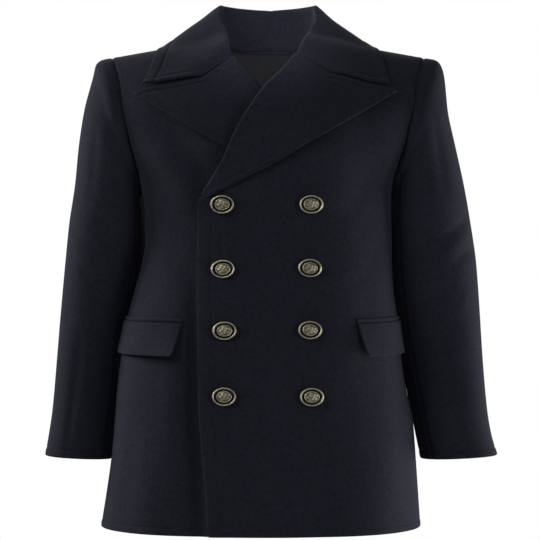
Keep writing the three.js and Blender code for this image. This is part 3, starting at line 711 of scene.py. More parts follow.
def signed_volume(spots: Array, quads: Array) -> float:
    """Volume inside a closed mesh of quads, negative where its faces point in."""
    a, b, c, d = (spots[quads[:, i]] for i in range(4))
    first = np.einsum("ij,ij->i", a, np.cross(b, c))
    second = np.einsum("ij,ij->i", a, np.cross(c, d))
    return float((first + second).sum() / 6)


def shade_smooth(mesh: bpy.types.Mesh) -> None:
    """Shades every face of a mesh as part of a curve."""
    mesh.polygons.foreach_set("use_smooth", np.ones(len(mesh.polygons), bool))
    mesh.update()


def mesh_of(name: str, spots: Array, faces: list, materials: list[bpy.types.Material]) -> bpy.types.Mesh:
    """Makes a smooth mesh in metres from points in millimetres."""
    mesh = bpy.data.meshes.new(name)
    mesh.from_pydata((spots * MM).tolist(), [], faces)
    for material in materials:
        mesh.materials.append(material)
    shade_smooth(mesh)
    return mesh


def set_value(mesh: bpy.types.Mesh, name: str, values: Array) -> None:
    """Stores a number for each point of a mesh, which its material reads by name."""
    attribute = mesh.attributes.new(name, "FLOAT", "POINT")
    attribute.data.foreach_set("value", np.asarray(values, np.float32).ravel())


def shell_mesh(
    name: str, shell: Shell, face: bpy.types.Material, lining: bpy.types.Material
) -> bpy.types.Mesh:
    """Closes a shell into one mesh, with the lining's finish on its inside away from turned edges.

    Args:
        name: the mesh's name.
        shell: the cloth.
        face: finish of the outer cloth.
        lining: finish of the inside.

    Returns:
        The mesh.
    """
    rows, columns = shell.face.shape[:2]
    count = rows * columns
    spots = np.concatenate([shell.face.reshape(-1, 3), shell.back.reshape(-1, 3)])
    outer = grid_faces(rows, columns)
    inner = grid_faces(rows, columns, count)[:, ::-1]
    ids = np.arange(count).reshape(rows, columns)
    loop = np.concatenate([ids[0, :-1], ids[:-1, -1], ids[-1, :0:-1], ids[:0:-1, 0]])
    ahead = np.roll(loop, -1)
    rim = np.stack([ahead, loop, loop + count, ahead + count], axis=-1)
    quads = np.concatenate([outer, inner, rim])
    if signed_volume(spots, quads) < 0:
        quads = quads[:, ::-1]
    mesh = mesh_of(name, spots, quads.tolist(), [face, lining])
    slots = np.zeros(len(quads), np.int32)
    wool = shell.inside_wool.reshape(-1)[inner - count].any(axis=1)
    slots[len(outer) : len(outer) + len(inner)] = np.where(wool, 0, 1)
    mesh.polygons.foreach_set("material_index", slots)
    set_value(mesh, "edge", np.tile(shell.edge.ravel(), 2))
    return mesh


class Value:
    """A number in a material's nodes that Python's operators build on."""

    def __init__(self, shader: Shader, socket: bpy.types.NodeSocket) -> None:
        """Wraps an output socket of a shader's node."""
        self.shader = shader
        self.socket = socket

    def _join(self, operation: str, first: Value | float, second: Value | float) -> Value:
        """Adds a Math node on two values."""
        node = self.shader.node("ShaderNodeMath", {"operation": operation}, {0: first, 1: second})
        return Value(self.shader, node.outputs[0])

    def __add__(self, other: Value | float) -> Value:
        """self + other."""
        return self._join("ADD", self, other)

    def __radd__(self, other: float) -> Value:
        """other + self."""
        return self._join("ADD", other, self)

    def __sub__(self, other: Value | float) -> Value:
        """self - other."""
        return self._join("SUBTRACT", self, other)

    def __rsub__(self, other: float) -> Value:
        """other - self."""
        return self._join("SUBTRACT", other, self)

    def __mul__(self, other: Value | float) -> Value:
        """self * other."""
        return self._join("MULTIPLY", self, other)

    def clamped(self) -> Value:
        """self, held between 0 and 1."""
        low = self._join("MAXIMUM", self, 0.0)
        return self._join("MINIMUM", low, 1.0)


class Shader:
    """A material under construction."""

    def __init__(self, name: str) -> None:
        """Starts a material with only its output and a Principled shader."""
        self.material = bpy.data.materials.new(name)
        self.material.use_nodes = True
        self.tree = self.material.node_tree
        self.tree.nodes.clear()
        self.output = self.tree.nodes.new("ShaderNodeOutputMaterial")
        self.surface = self.tree.nodes.new("ShaderNodeBsdfPrincipled")
        self.tree.links.new(self.surface.outputs[0], self.output.inputs["Surface"])
        self.place = self.node("ShaderNodeTexCoord", {}, {}).outputs["Object"]

    def node(self, kind: str, settings: dict, sockets: dict) -> bpy.types.Node:
        """Adds a node.

        Args:
            kind: the node's type.
            settings: its properties, set before its sockets are.
            sockets: a value, a Value or a socket for each of its inputs.

        Returns:
            The node.
        """
        node = self.tree.nodes.new(kind)
        for name, setting in settings.items():
            if name == "ramp":
                self._fill_ramp(node.color_ramp, setting)
            else:
                setattr(node, name, setting)
        self.feed(node, sockets)
        return node

    @staticmethod
    def _fill_ramp(ramp: bpy.types.ColorRamp, stops: list[tuple[float, float]]) -> None:
        """Gives a ramp its grey stops."""
        while len(ramp.elements) < len(stops):
            ramp.elements.new(1.0)
        for element, (position, level) in zip(ramp.elements, stops, strict=True):
            element.position = position
            element.color = (level, level, level, 1)

    def feed(self, node: bpy.types.Node, sockets: dict) -> None:
        """Sets or links a node's inputs."""
        for key, value in sockets.items():
            if isinstance(value, Value):
                self.tree.links.new(value.socket, node.inputs[key])
            elif isinstance(value, bpy.types.NodeSocket):
                self.tree.links.new(value, node.inputs[key])
            else:
                node.inputs[key].default_value = value

    def noise(
        self, scale: float, detail: float = 2.0, rough: float = 0.5, stretch: tuple | None = None
    ) -> Value:
        """A noise in space, from about 0 to 1.

        Args:
            scale: waves in a metre.
            detail: finer layers.
            rough: how strong the finer layers are.
            stretch: turns and scales of the pattern, as degrees about Z and three scales.

        Returns:
            The noise.
        """
        where = self.place
        if stretch:
            turn = (0.0, math.radians(stretch[0]), math.radians(stretch[0]) / 2)
            moved = {"Vector": where, "Rotation": turn, "Scale": stretch[1:]}
            where = self.node("ShaderNodeMapping", {}, moved).outputs[0]
        sockets = {"Vector": where, "Scale": scale, "Detail": detail, "Roughness": rough}
        return Value(self, self.node("ShaderNodeTexNoise", {}, sockets).outputs[0])

    def ramp(self, value: Value, stops: list[tuple[float, float]]) -> Value:
        """Runs a number through a ramp of grey stops."""
        node = self.node("ShaderNodeValToRGB", {"ramp": stops}, {0: value})
        return Value(self, node.outputs[0])

    def attribute(self, name: str) -> Value:
        """A number that the mesh stores at its points."""
        node = self.node("ShaderNodeAttribute", {"attribute_name": name}, {})
        return Value(self, node.outputs["Fac"])

    def mix(self, share: Value, first: tuple, second: tuple | bpy.types.NodeSocket) -> bpy.types.NodeSocket:
        """Mixes two colours by a share."""
        sockets = {"Factor": share, 6: first, 7: second}
        return self.node("ShaderNodeMix", {"data_type": "RGBA"}, sockets).outputs[2]

    def bump(self, height: Value, strength: float, distance: float) -> bpy.types.NodeSocket:
        """Turns a height into a normal, with its distance in metres."""
        sockets = {"Height": height, "Strength": strength, "Distance": distance}
        return self.node("ShaderNodeBump", {}, sockets).outputs[0]

    def finish(self, sockets: dict) -> bpy.types.Material:
        """Feeds the Principled shader and gives the material."""
        self.feed(self.surface, sockets)
        return self.material


def rgb(red: float, green: float, blue: float) -> tuple[float, float, float, float]:
    """A colour with full alpha."""
    return (red, green, blue, 1.0)


@dataclass(frozen=True)
class MeltonFinish:
    """Felted navy wool: short fibres in every direction, a soft mottle and a cool sheen."""

    name: str = "navy_melton"
    deep: tuple = rgb(0.0068, 0.0076, 0.0128)
    light: tuple = rgb(0.0215, 0.0232, 0.0345)
    sheen: float = 0.07

    def material(self) -> bpy.types.Material:
        """Makes the material."""
        shader = Shader(self.name)
        fibre = shader.noise(1150, 4.0, 0.7)
        slant = shader.noise(420, 3.0, 0.65, (28, 1.0, 0.28, 1.9))
        cross = shader.noise(390, 3.0, 0.65, (-41, 1.8, 0.3, 0.9))
        mottle = shader.noise(190, 3.0, 0.6)
        cloud = shader.noise(9, 2.0, 0.5)
        felt = fibre * 0.5 + slant * 0.28 + cross * 0.22
        grain = shader.ramp(felt, [(0.34, 0.0), (0.5, 0.42), (0.66, 1.0)])
        tone = grain * 0.5 + (mottle - 0.5) * 1.15 + cloud * 0.25 + 0.1
        rubbed = shader.attribute("edge") * (mottle * 0.22 - 0.16)
        colour = shader.mix((tone + rubbed).clamped(), self.deep, self.light)
        pill = shader.ramp(shader.noise(240, 1.0, 0.4), [(0.6, 0.0), (0.74, 1.0)])
        height = felt + pill * 0.25 + mottle * 0.35
        return shader.finish(
            {
                "Base Color": colour,
                "Roughness": (0.98 - grain * 0.12).clamped(),
                "Normal": shader.bump(height, 0.55, 0.0009),
                "Specular IOR Level": 0.12,
                "Sheen Weight": self.sheen,
                "Sheen Roughness": 0.55,
                "Sheen Tint": rgb(0.55, 0.6, 0.72),
            }
        )


@dataclass(frozen=True)
class SatinFinish:
    """Lining with a fine twill line and a dull shine, and a painted shadow that darkens it along its edges and
    seams.
    """

    name: str = "lining_satin"
    deep: tuple = rgb(0.0135, 0.014, 0.0185)
    light: tuple = rgb(0.0245, 0.0255, 0.032)
    # painted shadow: near-black colour laid along the lining's edges and seams
    seam: tuple = rgb(0.0018, 0.002, 0.0028)

    def material(self) -> bpy.types.Material:
        """Makes the material."""
        shader = Shader(self.name)
        thread = shader.noise(900, 2.0, 0.5, (35, 1.0, 0.2, 3.0))
        mottle = shader.noise(60, 2.0, 0.5)
        tone = (thread * 0.6 + mottle * 0.4).clamped()
        # painted shadow: a dark band within a few millimetres of every edge and seam of the lining
        by_seam = shader.ramp(shader.attribute("edge"), [(0.66, 0.0), (0.84, 1.0)])
        cloth = shader.mix(tone, self.deep, self.light)
        return shader.finish(
            {
                "Base Color": shader.mix(by_seam * 0.9, cloth, self.seam),
                "Roughness": 0.42 + thread * 0.14,
                "Normal": shader.bump(thread, 0.25, 0.0004),
                "Specular IOR Level": 0.35,
            }
        )


@dataclass(frozen=True)
class ThreadFinish:
    """Twisted polyester thread in the cloth's colour."""

    name: str = "navy_thread"
    deep: tuple = rgb(0.0035, 0.004, 0.0065)
    light: tuple = rgb(0.0115, 0.0125, 0.0185)

    def material(self) -> bpy.types.Material:
        """Makes the material."""
        shader = Shader(self.name)
        ply = shader.noise(2600, 2.0, 0.5)
        return shader.finish(
            {
                "Base Color": shader.mix(ply, self.deep, self.light),
                "Roughness": 0.62 + ply * 0.15,
                "Normal": shader.bump(ply, 0.3, 0.0002),
                "Specular IOR Level": 0.3,
            }
        )


@dataclass(frozen=True)
class BrassFinish:
    """Old brass: near-black in its groove from grime and painted shade, rubbed bright where it stands out."""

    name: str = "aged_brass"
    patina: tuple = rgb(0.1, 0.09, 0.062)
    # grime with painted shade: near-black colour for the button's groove
    dark: tuple = rgb(0.0025, 0.003, 0.0025)
    worn: tuple = rgb(0.66, 0.61, 0.46)

    def material(self) -> bpy.types.Material:
        """Makes the material."""
        shader = Shader(self.name)
        wear = shader.attribute("wear")
        grime = shader.noise(1500, 4.0, 0.65)
        cloud = shader.noise(330, 2.0, 0.5)
        scratch = shader.noise(900, 3.0, 0.6, (20, 0.25, 1.0, 2.2))
        rubbed = (wear * 1.3 + grime * 0.5 + cloud * 0.3 - 0.52).clamped()
        # grime with painted shade: the groove, where wear is near 0, turns near-black and barely metallic
        in_groove_grime_and_shade = shader.ramp(wear, [(0.02, 1.0), (0.14, 0.0)])
        metal = shader.mix(rubbed, self.patina, self.worn)
        height = grime * 0.7 + scratch * 0.5
        return shader.finish(
            {
                "Base Color": shader.mix(in_groove_grime_and_shade, metal, self.dark),
                "Metallic": (1 - in_groove_grime_and_shade * 0.9).clamped(),
                "Roughness": (0.56 - rubbed * 0.24 + scratch * 0.12).clamped(),
                "Normal": shader.bump(height, 0.3, 0.00025),
            }
        )


@dataclass(frozen=True)
class FloorFinish:
    """The studio's plain pale floor."""

    name: str = "pale_floor"
    colour: tuple = rgb(0.82, 0.82, 0.82)

    def material(self) -> bpy.types.Material:
        """Makes the material."""
        shader = Shader(self.name)
        return shader.finish({"Base Color": self.colour, "Roughness": 0.7})


@dataclass
class Wardrobe:
    """The finishes that the coat is made in."""

    wool: bpy.types.Material = field(default_factory=lambda: MeltonFinish().material())
    lining: bpy.types.Material = field(default_factory=lambda: SatinFinish().material())
    thread: bpy.types.Material = field(default_factory=lambda: ThreadFinish().material())
    brass: bpy.types.Material = field(default_factory=lambda: BrassFinish().material())


def show(name: str, mesh: bpy.types.Mesh) -> bpy.types.Object:
    """Puts a mesh in the scene as an object at the origin."""
    made = bpy.data.objects.new(name, mesh)
    bpy.context.collection.objects.link(made)
    return made


@dataclass
class ClothCut:
    """How a piece of cloth was cut, and what holds it: sizes in metres."""

    flat: tuple[float, float]
    area: float
    held: str = "hung"
    rests_on: tuple[str, ...] = ()


def dress(node: str, mesh: bpy.types.Mesh) -> None:
    """Args:
        node: the node that the cloth stands for.
        mesh: its mesh.
    """
    made = show(f"{node}_cloth", mesh)
    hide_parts(node)
    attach(made, "root")
    LOG.info("%s: %d points, %d faces", made.name, len(mesh.vertices), len(mesh.polygons))


class Stitch(NamedTuple):
    """Measures of a kind of stitch, and the seed of its small differences in size."""

    pitch: float
    length: float
    radius: float
    seed: int


TOPSTITCH = Stitch(pitch=4.2, length=3.1, radius=0.36, seed=7)
PURL = Stitch(pitch=0.95, length=1.5, radius=0.62, seed=11)
# The stitching tree: its inputs, then its nodes with their settings and fixed inputs, then its links
STITCH_INPUTS = {
    "Geometry": "NodeSocketGeometry",
    "Pitch": "NodeSocketFloat",
    "Length": "NodeSocketFloat",
    "Radius": "NodeSocketFloat",
    "Seed": "NodeSocketInt",
    "Thread": "NodeSocketMaterial",
}
STITCH_NODES = (
    ("given", "NodeGroupInput", {}, {}),
    ("result", "NodeGroupOutput", {}, {}),
    ("curve", "GeometryNodeMeshToCurve", {}, {}),
    ("resample", "GeometryNodeResampleCurve", {"mode": "LENGTH"}, {}),
    ("bead", "GeometryNodeMeshUVSphere", {}, {"Segments": 6, "Rings": 4, "Radius": 1.0}),
    ("half", "ShaderNodeMath", {"operation": "MULTIPLY"}, {1: 0.5}),
    ("size", "ShaderNodeCombineXYZ", {}, {}),
    ("turn", "FunctionNodeAlignRotationToVector", {"axis": "X"}, {}),
    ("tangent", "GeometryNodeInputTangent", {}, {}),
    ("jitter", "FunctionNodeRandomValue", {"data_type": "FLOAT"}, {2: 0.9, 3: 1.08}),
    ("shape", "GeometryNodeTransform", {}, {}),
    ("place", "GeometryNodeInstanceOnPoints", {}, {}),
    ("real", "GeometryNodeRealizeInstances", {}, {}),
    ("paint", "GeometryNodeSetMaterial", {}, {}),
)
STITCH_LINKS = (
    ("given", "Geometry", "curve", 0),
    ("curve", 0, "resample", "Curve"),
    ("given", "Pitch", "resample", "Length"),
    ("given", "Length", "half", 0),
    ("half", 0, "size", "X"),
    ("given", "Radius", "size", "Y"),
    ("given", "Radius", "size", "Z"),
    ("bead", 0, "shape", "Geometry"),
    ("size", 0, "shape", "Scale"),
    ("given", "Seed", "jitter", "Seed"),
    ("tangent", 0, "turn", "Vector"),
    ("resample", 0, "place", "Points"),
    ("shape", 0, "place", "Instance"),
    ("turn", 0, "place", "Rotation"),
    ("jitter", 1, "place", "Scale"),
    ("place", 0, "real", 0),
    ("real", 0, "paint", "Geometry"),
    ("given", "Thread", "paint", "Material"),
    ("paint", 0, "result", 0),
)


@dataclass
class Stitching:
    """Collects the lines that topstitching and buttonholes follow, and sews them all at the end."""

    lines: list[Array] = field(default_factory=list)
    purl_lines: list[Array] = field(default_factory=list)

    def add(self, line: Array) -> None:
        """Adds a line of topstitching."""
        self.lines.append(line)

    def add_purl(self, line: Array) -> None:
        """Adds the line round a buttonhole."""
        self.purl_lines.append(line)

    @staticmethod
    def _tree() -> bpy.types.NodeTree:
        """Makes the Geometry Nodes tree that lays stitches along lines.

        Returns:
            A tree with inputs for pitch, length, radius, seed and thread.
        """
        tree = bpy.data.node_groups.new("stitches_along_lines", "GeometryNodeTree")
        for name, kind in STITCH_INPUTS.items():
            tree.interface.new_socket(name, in_out="INPUT", socket_type=kind)
        tree.interface.new_socket("Geometry", in_out="OUTPUT", socket_type="NodeSocketGeometry")
        nodes = {}
        for name, kind, settings, fixed in STITCH_NODES:
            nodes[name] = node = tree.nodes.new(kind)
            for key, setting in settings.items():
                setattr(node, key, setting)
            for key, value in fixed.items():
                node.inputs[key].default_value = value
        for source, output, target, socket in STITCH_LINKS:
            tree.links.new(nodes[source].outputs[output], nodes[target].inputs[socket])
        return tree

    @staticmethod
    def _wire(name: str, lines: list[Array]) -> bpy.types.Object:
        """Makes an object of bare edges along the lines."""
        spots: list[list[float]] = []
        edges: list[tuple[int, int]] = []
        for line in lines:
            start = len(spots)
            spots.extend((line * MM).tolist())
            edges.extend((start + i, start + i + 1) for i in range(len(line) - 1))
        mesh = bpy.data.meshes.new(name)
        mesh.from_pydata(spots, edges, [])
        return show(name, mesh)

    def _sew(self, tree: bpy.types.NodeTree, name: str, lines: list[Array], sizes: dict) -> None:
        """Runs the tree over some lines and shows the result as one plain mesh.

        Args:
            tree: the stitching tree.
            name: of the piece.
            lines: what the stitches follow.
            sizes: a value for each named input of the tree.
        """
        wire = self._wire(f"{name}_line", lines)
        modifier = wire.modifiers.new("stitches", "NODES")
        modifier.node_group = tree
        for item in tree.interface.items_tree:
            if item.in_out == "INPUT" and item.name in sizes:
                modifier[item.identifier] = sizes[item.name]
        evaluated = wire.evaluated_get(bpy.context.evaluated_depsgraph_get())
        mesh = bpy.data.meshes.new_from_object(evaluated)
        mesh.name = name
        shade_smooth(mesh)
        wire.modifiers.remove(modifier)
        bpy.data.objects.remove(wire)
        made = show(name, mesh)
        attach(made, "root")
        LOG.info("%s: %d faces", name, len(mesh.polygons))

    def sew(self, wardrobe: Wardrobe) -> None:
        """Sews everything that was collected."""
        tree = self._tree()
        seams = (("topstitching", self.lines, TOPSTITCH), ("buttonhole_purl", self.purl_lines, PURL))
        for name, lines, stitch in seams:
            sizes = {"Pitch": stitch.pitch * MM, "Length": stitch.length * MM, "Radius": stitch.radius * MM}
            self._sew(tree, name, lines, sizes | {"Seed": stitch.seed, "Thread": wardrobe.thread})


class Knot(NamedTuple):
    """A row of an edge or a roll line: height, and x towards its own side of the coat."""

    z: float
    x: float


def curve_of(rows: tuple[Knot, ...]) -> Curve:
    """x as a smooth curve of height."""
    return Curve([row.z for row in rows], [row.x for row in rows])


ROLL = {
    Side.LEFT: (Knot(-206, -93), Knot(-153, -63), Knot(-111, -44), Knot(-56, -7), Knot(-22, 24), Knot(0, 39)),
    Side.RIGHT: (Knot(-206, -88), Knot(-153, -58), Knot(-100, -22), Knot(-56, 7), Knot(-22, 33), Knot(0, 51)),
}
FRONT_EDGE = {
    Side.LEFT: (
        Knot(-703, -84),
        Knot(-650, -87.5),
        Knot(-600, -92),
        Knot(-530, -98),
        Knot(-420, -101.5),
        Knot(-300, -103),
        Knot(-217, -99),
        Knot(-206, -88.5),
    ),
    Side.RIGHT: (Knot(-703, -90), Knot(-240, -90), Knot(-206, -83.5)),
}

LEFT_EDGE = curve_of(FRONT_EDGE[Side.LEFT])


class Bend(NamedTuple):
    """A row of the armhole, from the shoulder tip at 0 to the armpit at 180."""

    turn: float
    front: float
    back: float


ARMHOLE = (
    Bend(turn=0, front=61.1, back=61.1),
    Bend(turn=30, front=60, back=59.5),
    Bend(turn=60, front=59, back=57.5),
    Bend(turn=90, front=60, back=57.5),
    Bend(turn=120, front=67.5, back=62.5),
    Bend(turn=150, front=78, back=71),
    Bend(turn=165, front=86.5, back=77),
    Bend(turn=180, front=SIDE_SEAM_DEG, back=180 - SIDE_SEAM_DEG),
)


class ArmholeLine:
    """The seam round each armhole."""

    def __init__(self) -> None:
        """Reads the armhole's rows into curves of its turn."""
        turns = [row.turn for row in ARMHOLE]
        self.front = Curve(turns, [row.front for row in ARMHOLE])
        self.back = Curve(turns, [row.back for row in ARMHOLE])
        self.tip_z = float(BodyForm.shoulder_line(SHOULDER_HALF_WIDTH))

    def height(self, turn: Array) -> Array:
        """Height of the seam at a turn."""
        return blend(BREAST_Z, self.tip_z, (1 + np.cos(np.radians(turn))) / 2)

    @staticmethod
    def turn_of(v: Array) -> Array:
        """Turn of the seam beside a row above the breast."""
        return np.degrees(np.arccos(np.clip(2 * v - 1, -1, 1)))

    def point(self, sign: int, turn: Array) -> Array:
        """Points of the seam: down the front for a turn up to 180, and up the back beyond it."""
        wrapped = np.mod(turn, 360)
        is_front = wrapped <= 180
        turned = np.where(is_front, wrapped, 360 - wrapped)
        deg = np.where(is_front, self.front(turned), 180 - self.back(turned))
        return FORM.round(sign * deg, self.height(turned))


ARMHOLE_LINE = ArmholeLine()


def seam_lap(z: Array | float) -> Array:
    """A seam's lap as an angle at the side of the body."""
    return np.degrees(SEAM_LAP / FORM.curve["left"](z))


@dataclass
class Front:
    """One front of the double breast, from its edge to the side seam and the armhole."""

    side: Side
    wardrobe: Wardrobe
    stitching: Stitching
    spacing: tuple[float, float] = (4.2, 4.6)
    gorge_share: float = 0.86

    def inner(self, v: Array) -> tuple[Array, Array]:
        """x and z of the inner boundary above the breast: behind the roll, then up the neck."""
        rows = ROLL[self.side]
        top = rows[-1]
        z_roll = blend(ROLL_START_Z, top.z, np.minimum(v / self.gorge_share, 1))
        start = float(curve_of(FRONT_EDGE[self.side])(ROLL_START_Z))
        join = (start - (rows[0].x + ROLL_SETBACK)) * (1 - smooth(v, 0, 0.12))
        x_roll = curve_of(rows)(z_roll) + ROLL_SETBACK + join
        share = np.clip((v - self.gorge_share) / (1 - self.gorge_share), 0, 1)
        x = np.where(share > 0, blend(top.x + ROLL_SETBACK, NECK_HALF_WIDTH, share), x_roll)
        z = np.where(share > 0, blend(top.z, NECK_POINT_Z, share), z_roll)
        return x, z

    def _low(self, u: Array, v: Array) -> Array:
        """Points below the breast."""
        sign = self.side.sign
        start_z = blend(ROLL_START_Z, HEM_Z, -v)
        z = blend(start_z, blend(BREAST_Z, HEM_Z, -v), u)
        start = FORM.angle_of(sign * curve_of(FRONT_EDGE[self.side])(start_z), z)
        seam = SIDE_SEAM_DEG + seam_lap(BREAST_Z)
        return FORM.round(blend(start, sign * seam, u), z)

    def _high(self, u: Array, v: Array) -> Array:
        """Points above the breast."""
        sign = self.side.sign
        inner_x, inner_z = self.inner(v)
        turn = ArmholeLine.turn_of(v)
        outer_z = ARMHOLE_LINE.height(turn)
        straight = blend(FORM.shoulder_line(inner_x), FORM.shoulder_line(SHOULDER_HALF_WIDTH), u)
        z = blend(inner_z, outer_z, u)
        for _ in range(SETTLE_TURNS):
            deg = blend(FORM.angle_of(sign * inner_x, z), sign * ARMHOLE_LINE.front(turn), u)
            ridge = FORM.shoulder_line(FORM.round_x(deg, z)) - straight
            z = blend(inner_z, outer_z, u) + v * v * ridge
        z = np.minimum(z, FORM.shoulder_line(FORM.round_x(deg, z)))
        place = FORM.round(deg, z)
        place[..., 1] -= SEAM_GAP / 2 * smooth(v, 0.9, 1)
        return place

    def place(self, u: Array, v: Array) -> Array:
        """Points of the form under the front."""
        low = self._low(u, np.minimum(v, 0))
        high = self._high(u, np.clip(v, 1e-6, 1))
        return np.where((v <= 0)[..., None], low, high)

    def build(self) -> None:
        """Makes the front and lays its topstitching."""
        edges = Edges(
            left=Edge(EdgeKind.FREE, FRONT_STITCH),
            right=Edge(EdgeKind.SEWN),
            low=Edge(EdgeKind.FREE, HEM_STITCH),
            high=Edge(EdgeKind.SEWN),
        )
        spots = lattice(self.place, edges, self.spacing, v_range=(-1, 1))
        base = self.place(spots.u, spots.v)
        normal = FORM.normal(base)
        out = front_lift(self.side, base[..., 0], base[..., 2])
        below_roll = {"left": 1 - smooth(spots.v, -0.03, 0.02)}
        shell = make_shell(base, normal, out, spots, edges, CLOTH, below_roll)
        hem_row, edge_column = edges.low.stitch_line(), edges.left.stitch_line()
        self.stitching.add(shell.line(row=hem_row)[edge_column:])
        if self.side is Side.LEFT:
            below = int((spots.v[:, edge_column] < -0.01).sum())
            self.stitching.add(shell.line(column=edge_column)[hem_row:below])
        node = f"front_{self.side.value}"
        mesh = shell_mesh(node, shell, self.wardrobe.wool, self.wardrobe.lining)
        dress(node, mesh)


def back_top(x: Array) -> Array:
    """Height of the back's top edge: the neck curve, then the shoulder seam."""
    in_neck = np.minimum(1, np.abs(x) / NECK_HALF_WIDTH)
    return FORM.shoulder_line(x) - BACK_NECK_DROP * (1 - in_neck * in_neck)


def back_place(sign: Array | int, u: Array, v: Array) -> Array:
    """Points of the form under one half of the back.

    Args:
        sign: +1 on the wearer's left, -1 on the right.
        u: from the centre seam to the side seam or the armhole.
        v: from the hem at -1, by the breast at 0, to the top at 1.

    Returns:
        The points.
    """
    centre = 180 + seam_lap(BREAST_Z)
    low_z = blend(BREAST_Z, HEM_Z, -np.minimum(v, 0))
    low = FORM.round(sign * blend(centre, SIDE_SEAM_DEG - seam_lap(low_z), u), low_z)
    high_v = np.clip(v, 0, 1)
    turn = ArmholeLine.turn_of(high_v)
    outer_z = ARMHOLE_LINE.height(turn)
    inner_z = blend(BREAST_Z, float(back_top(0.0)), high_v)
    deg = blend(centre, 180 - ARMHOLE_LINE.back(turn), u)
    z = blend(inner_z, outer_z, u)
    straight = blend(float(back_top(0.0)), ARMHOLE_LINE.tip_z, u)
    for _ in range(SETTLE_TURNS):
        z = blend(inner_z, outer_z, u) + high_v * high_v * (back_top(FORM.round_x(deg, z)) - straight)
    z = np.minimum(z, FORM.shoulder_line(FORM.round_x(deg, z)))
    high = FORM.round(sign * deg, z)
    high[..., 1] += SEAM_GAP / 2 * smooth(high_v, 0.9, 1)
    return np.where((v <= 0)[..., None], low, high)


class Pleat(NamedTuple):
    """A fold of the lining's ease: where it runs, its width and depth, and where it dies out above."""

    x: float
    wide: float
    deep: float
    end_v: tuple[float, float]

    def lift(self, x: Array, v: Array) -> Array:
        """How far the pleat moves the lining at each place."""
        return -self.deep * bell(x - self.x, self.wide) * (1 - smooth(v, *self.end_v))


LINING_PLEATS = (
    Pleat(x=0, wide=5, deep=1.6, end_v=(0.8, 0.99)),
    Pleat(x=9, wide=5, deep=0.8, end_v=(0.75, 0.97)),
)


@dataclass
class Back:
    """The back, in two halves with a centre seam, and the lining that shows in the neck."""

    wardrobe: Wardrobe
    stitching: Stitching
    spacing: tuple[float, float] = (4.2, 4.6)
    lining_low_v: float = 0.05
    lining_end_u: float = 7 / 9

    def build_half(self, side: Side) -> None:
        """Makes one half of the back and its hem's stitching."""
        edges = Edges(low=Edge(EdgeKind.FREE, HEM_STITCH))

        def place(u: Array, v: Array) -> Array:
            """Points of this half."""
            return back_place(side.sign, u, v)

        spots = lattice(place, edges, self.spacing, v_range=(-1, 1))
        base = place(spots.u, spots.v)
        out = surface_lift(False, base[..., 0], base[..., 2])
        shell = make_shell(base, FORM.normal(base), out, spots, edges, CLOTH)
        self.stitching.add(shell.line(row=edges.low.stitch_line()))
        node = f"back_{side.value}"
        mesh = shell_mesh(node, shell, self.wardrobe.wool, self.wardrobe.lining)
        dress(node, mesh)

    def build_lining(self) -> None:
        """Makes the lining inside the upper back, sewn in along the neck."""
        edges = Edges(*(Edge(EdgeKind.CUT) for _ in range(4)))

        def place(u: Array, v: Array) -> Array:
            """Points of the back across both its halves."""
            spread = back_place(np.where(u < 0, -1, 1), np.abs(u), v)
            spread[..., 0] *= smooth(np.abs(u), 0, 0.004) * 0.999 + 0.001
            return spread

        end_u = self.lining_end_u
        spots = lattice(place, edges, self.spacing, (-end_u, end_u), (self.lining_low_v, 1))
        base = place(spots.u, spots.v)
        gap = blend(LINING_GAP, SEAM_GAP, smooth(spots.v, 0.93, 1))
        ease = sum(pleat.lift(base[..., 0], spots.v) for pleat in LINING_PLEATS)
        out = surface_lift(False, base[..., 0], base[..., 2]) - CLOTH - gap + ease
        shell = make_shell(base, FORM.normal(base), out, spots, edges, LINING)
        mesh = shell_mesh("back_lining", shell, self.wardrobe.lining, self.wardrobe.lining)
        dress("back_lining", mesh)

    def build(self) -> None:
        """Makes the whole back."""
        for side in Side:
            self.build_half(side)
        self.build_lining()


class Ring(NamedTuple):
    """A ring of a sleeve: its points furthest out and in, its middle and half its depth."""

    at: float
    out_x: float
    out_z: float
    in_x: float
    in_z: float
    y: float
    deep: float


SLEEVE_RINGS = {
    Side.LEFT: (
        Ring(0, 236, 3.4, 188, -200, 4, 68),
        Ring(0.03, 253, 1, 191, -204, 4, 71),
        Ring(0.06, 262, -6, 191, -207, 7, 73),
        Ring(0.1, 268, -25, 189, -210, 11, 75),
        Ring(0.2, 273, -75, 186, -219, 15, 76),
        Ring(0.3, 285, -130, 183, -233, 19, 76),
        Ring(0.4, 298, -188, 182, -256, 21, 74),
        Ring(0.5, 309, -246, 180, -290, 29, 70),
        Ring(0.6, 318, -305, 183, -335, 33, 66),
        Ring(0.7, 324, -378, 190, -392, 38, 61),
        Ring(0.8, 328, -450, 203, -458, 33, 57),
        Ring(0.9, 334, -531, 218, -534, 21, 54),
        Ring(0.95, 340, -568, 225, -570, 17, 52),
        Ring(1, 348.5, -598, 232, -604, 14, 51),
    ),
    Side.RIGHT: (
        Ring(0, 236, 3.4, 192, -200, 4, 68),
        Ring(0.03, 251, 1, 196, -204, 4, 71),
        Ring(0.06, 261, -6, 194, -207, 7, 73),
        Ring(0.1, 266, -25, 192, -210, 11, 75),
        Ring(0.2, 279, -75, 188, -219, 15, 77),
        Ring(0.3, 288, -130, 184, -233, 20, 77),
        Ring(0.4, 294, -188, 183, -256, 23, 76),
        Ring(0.5, 303.5, -246, 182, -290, 31, 73),
        Ring(0.6, 310, -305, 189, -335, 36, 69),
        Ring(0.7, 317, -379, 203, -393, 38, 64),
        Ring(0.8, 323, -451, 215, -459, 38, 60),
        Ring(0.9, 330, -532, 225, -535, 36, 57),
        Ring(0.95, 335.5, -570, 229, -571, 34, 55),
        Ring(1, 340.5, -600, 233, -605, 32, 54),
    ),
}
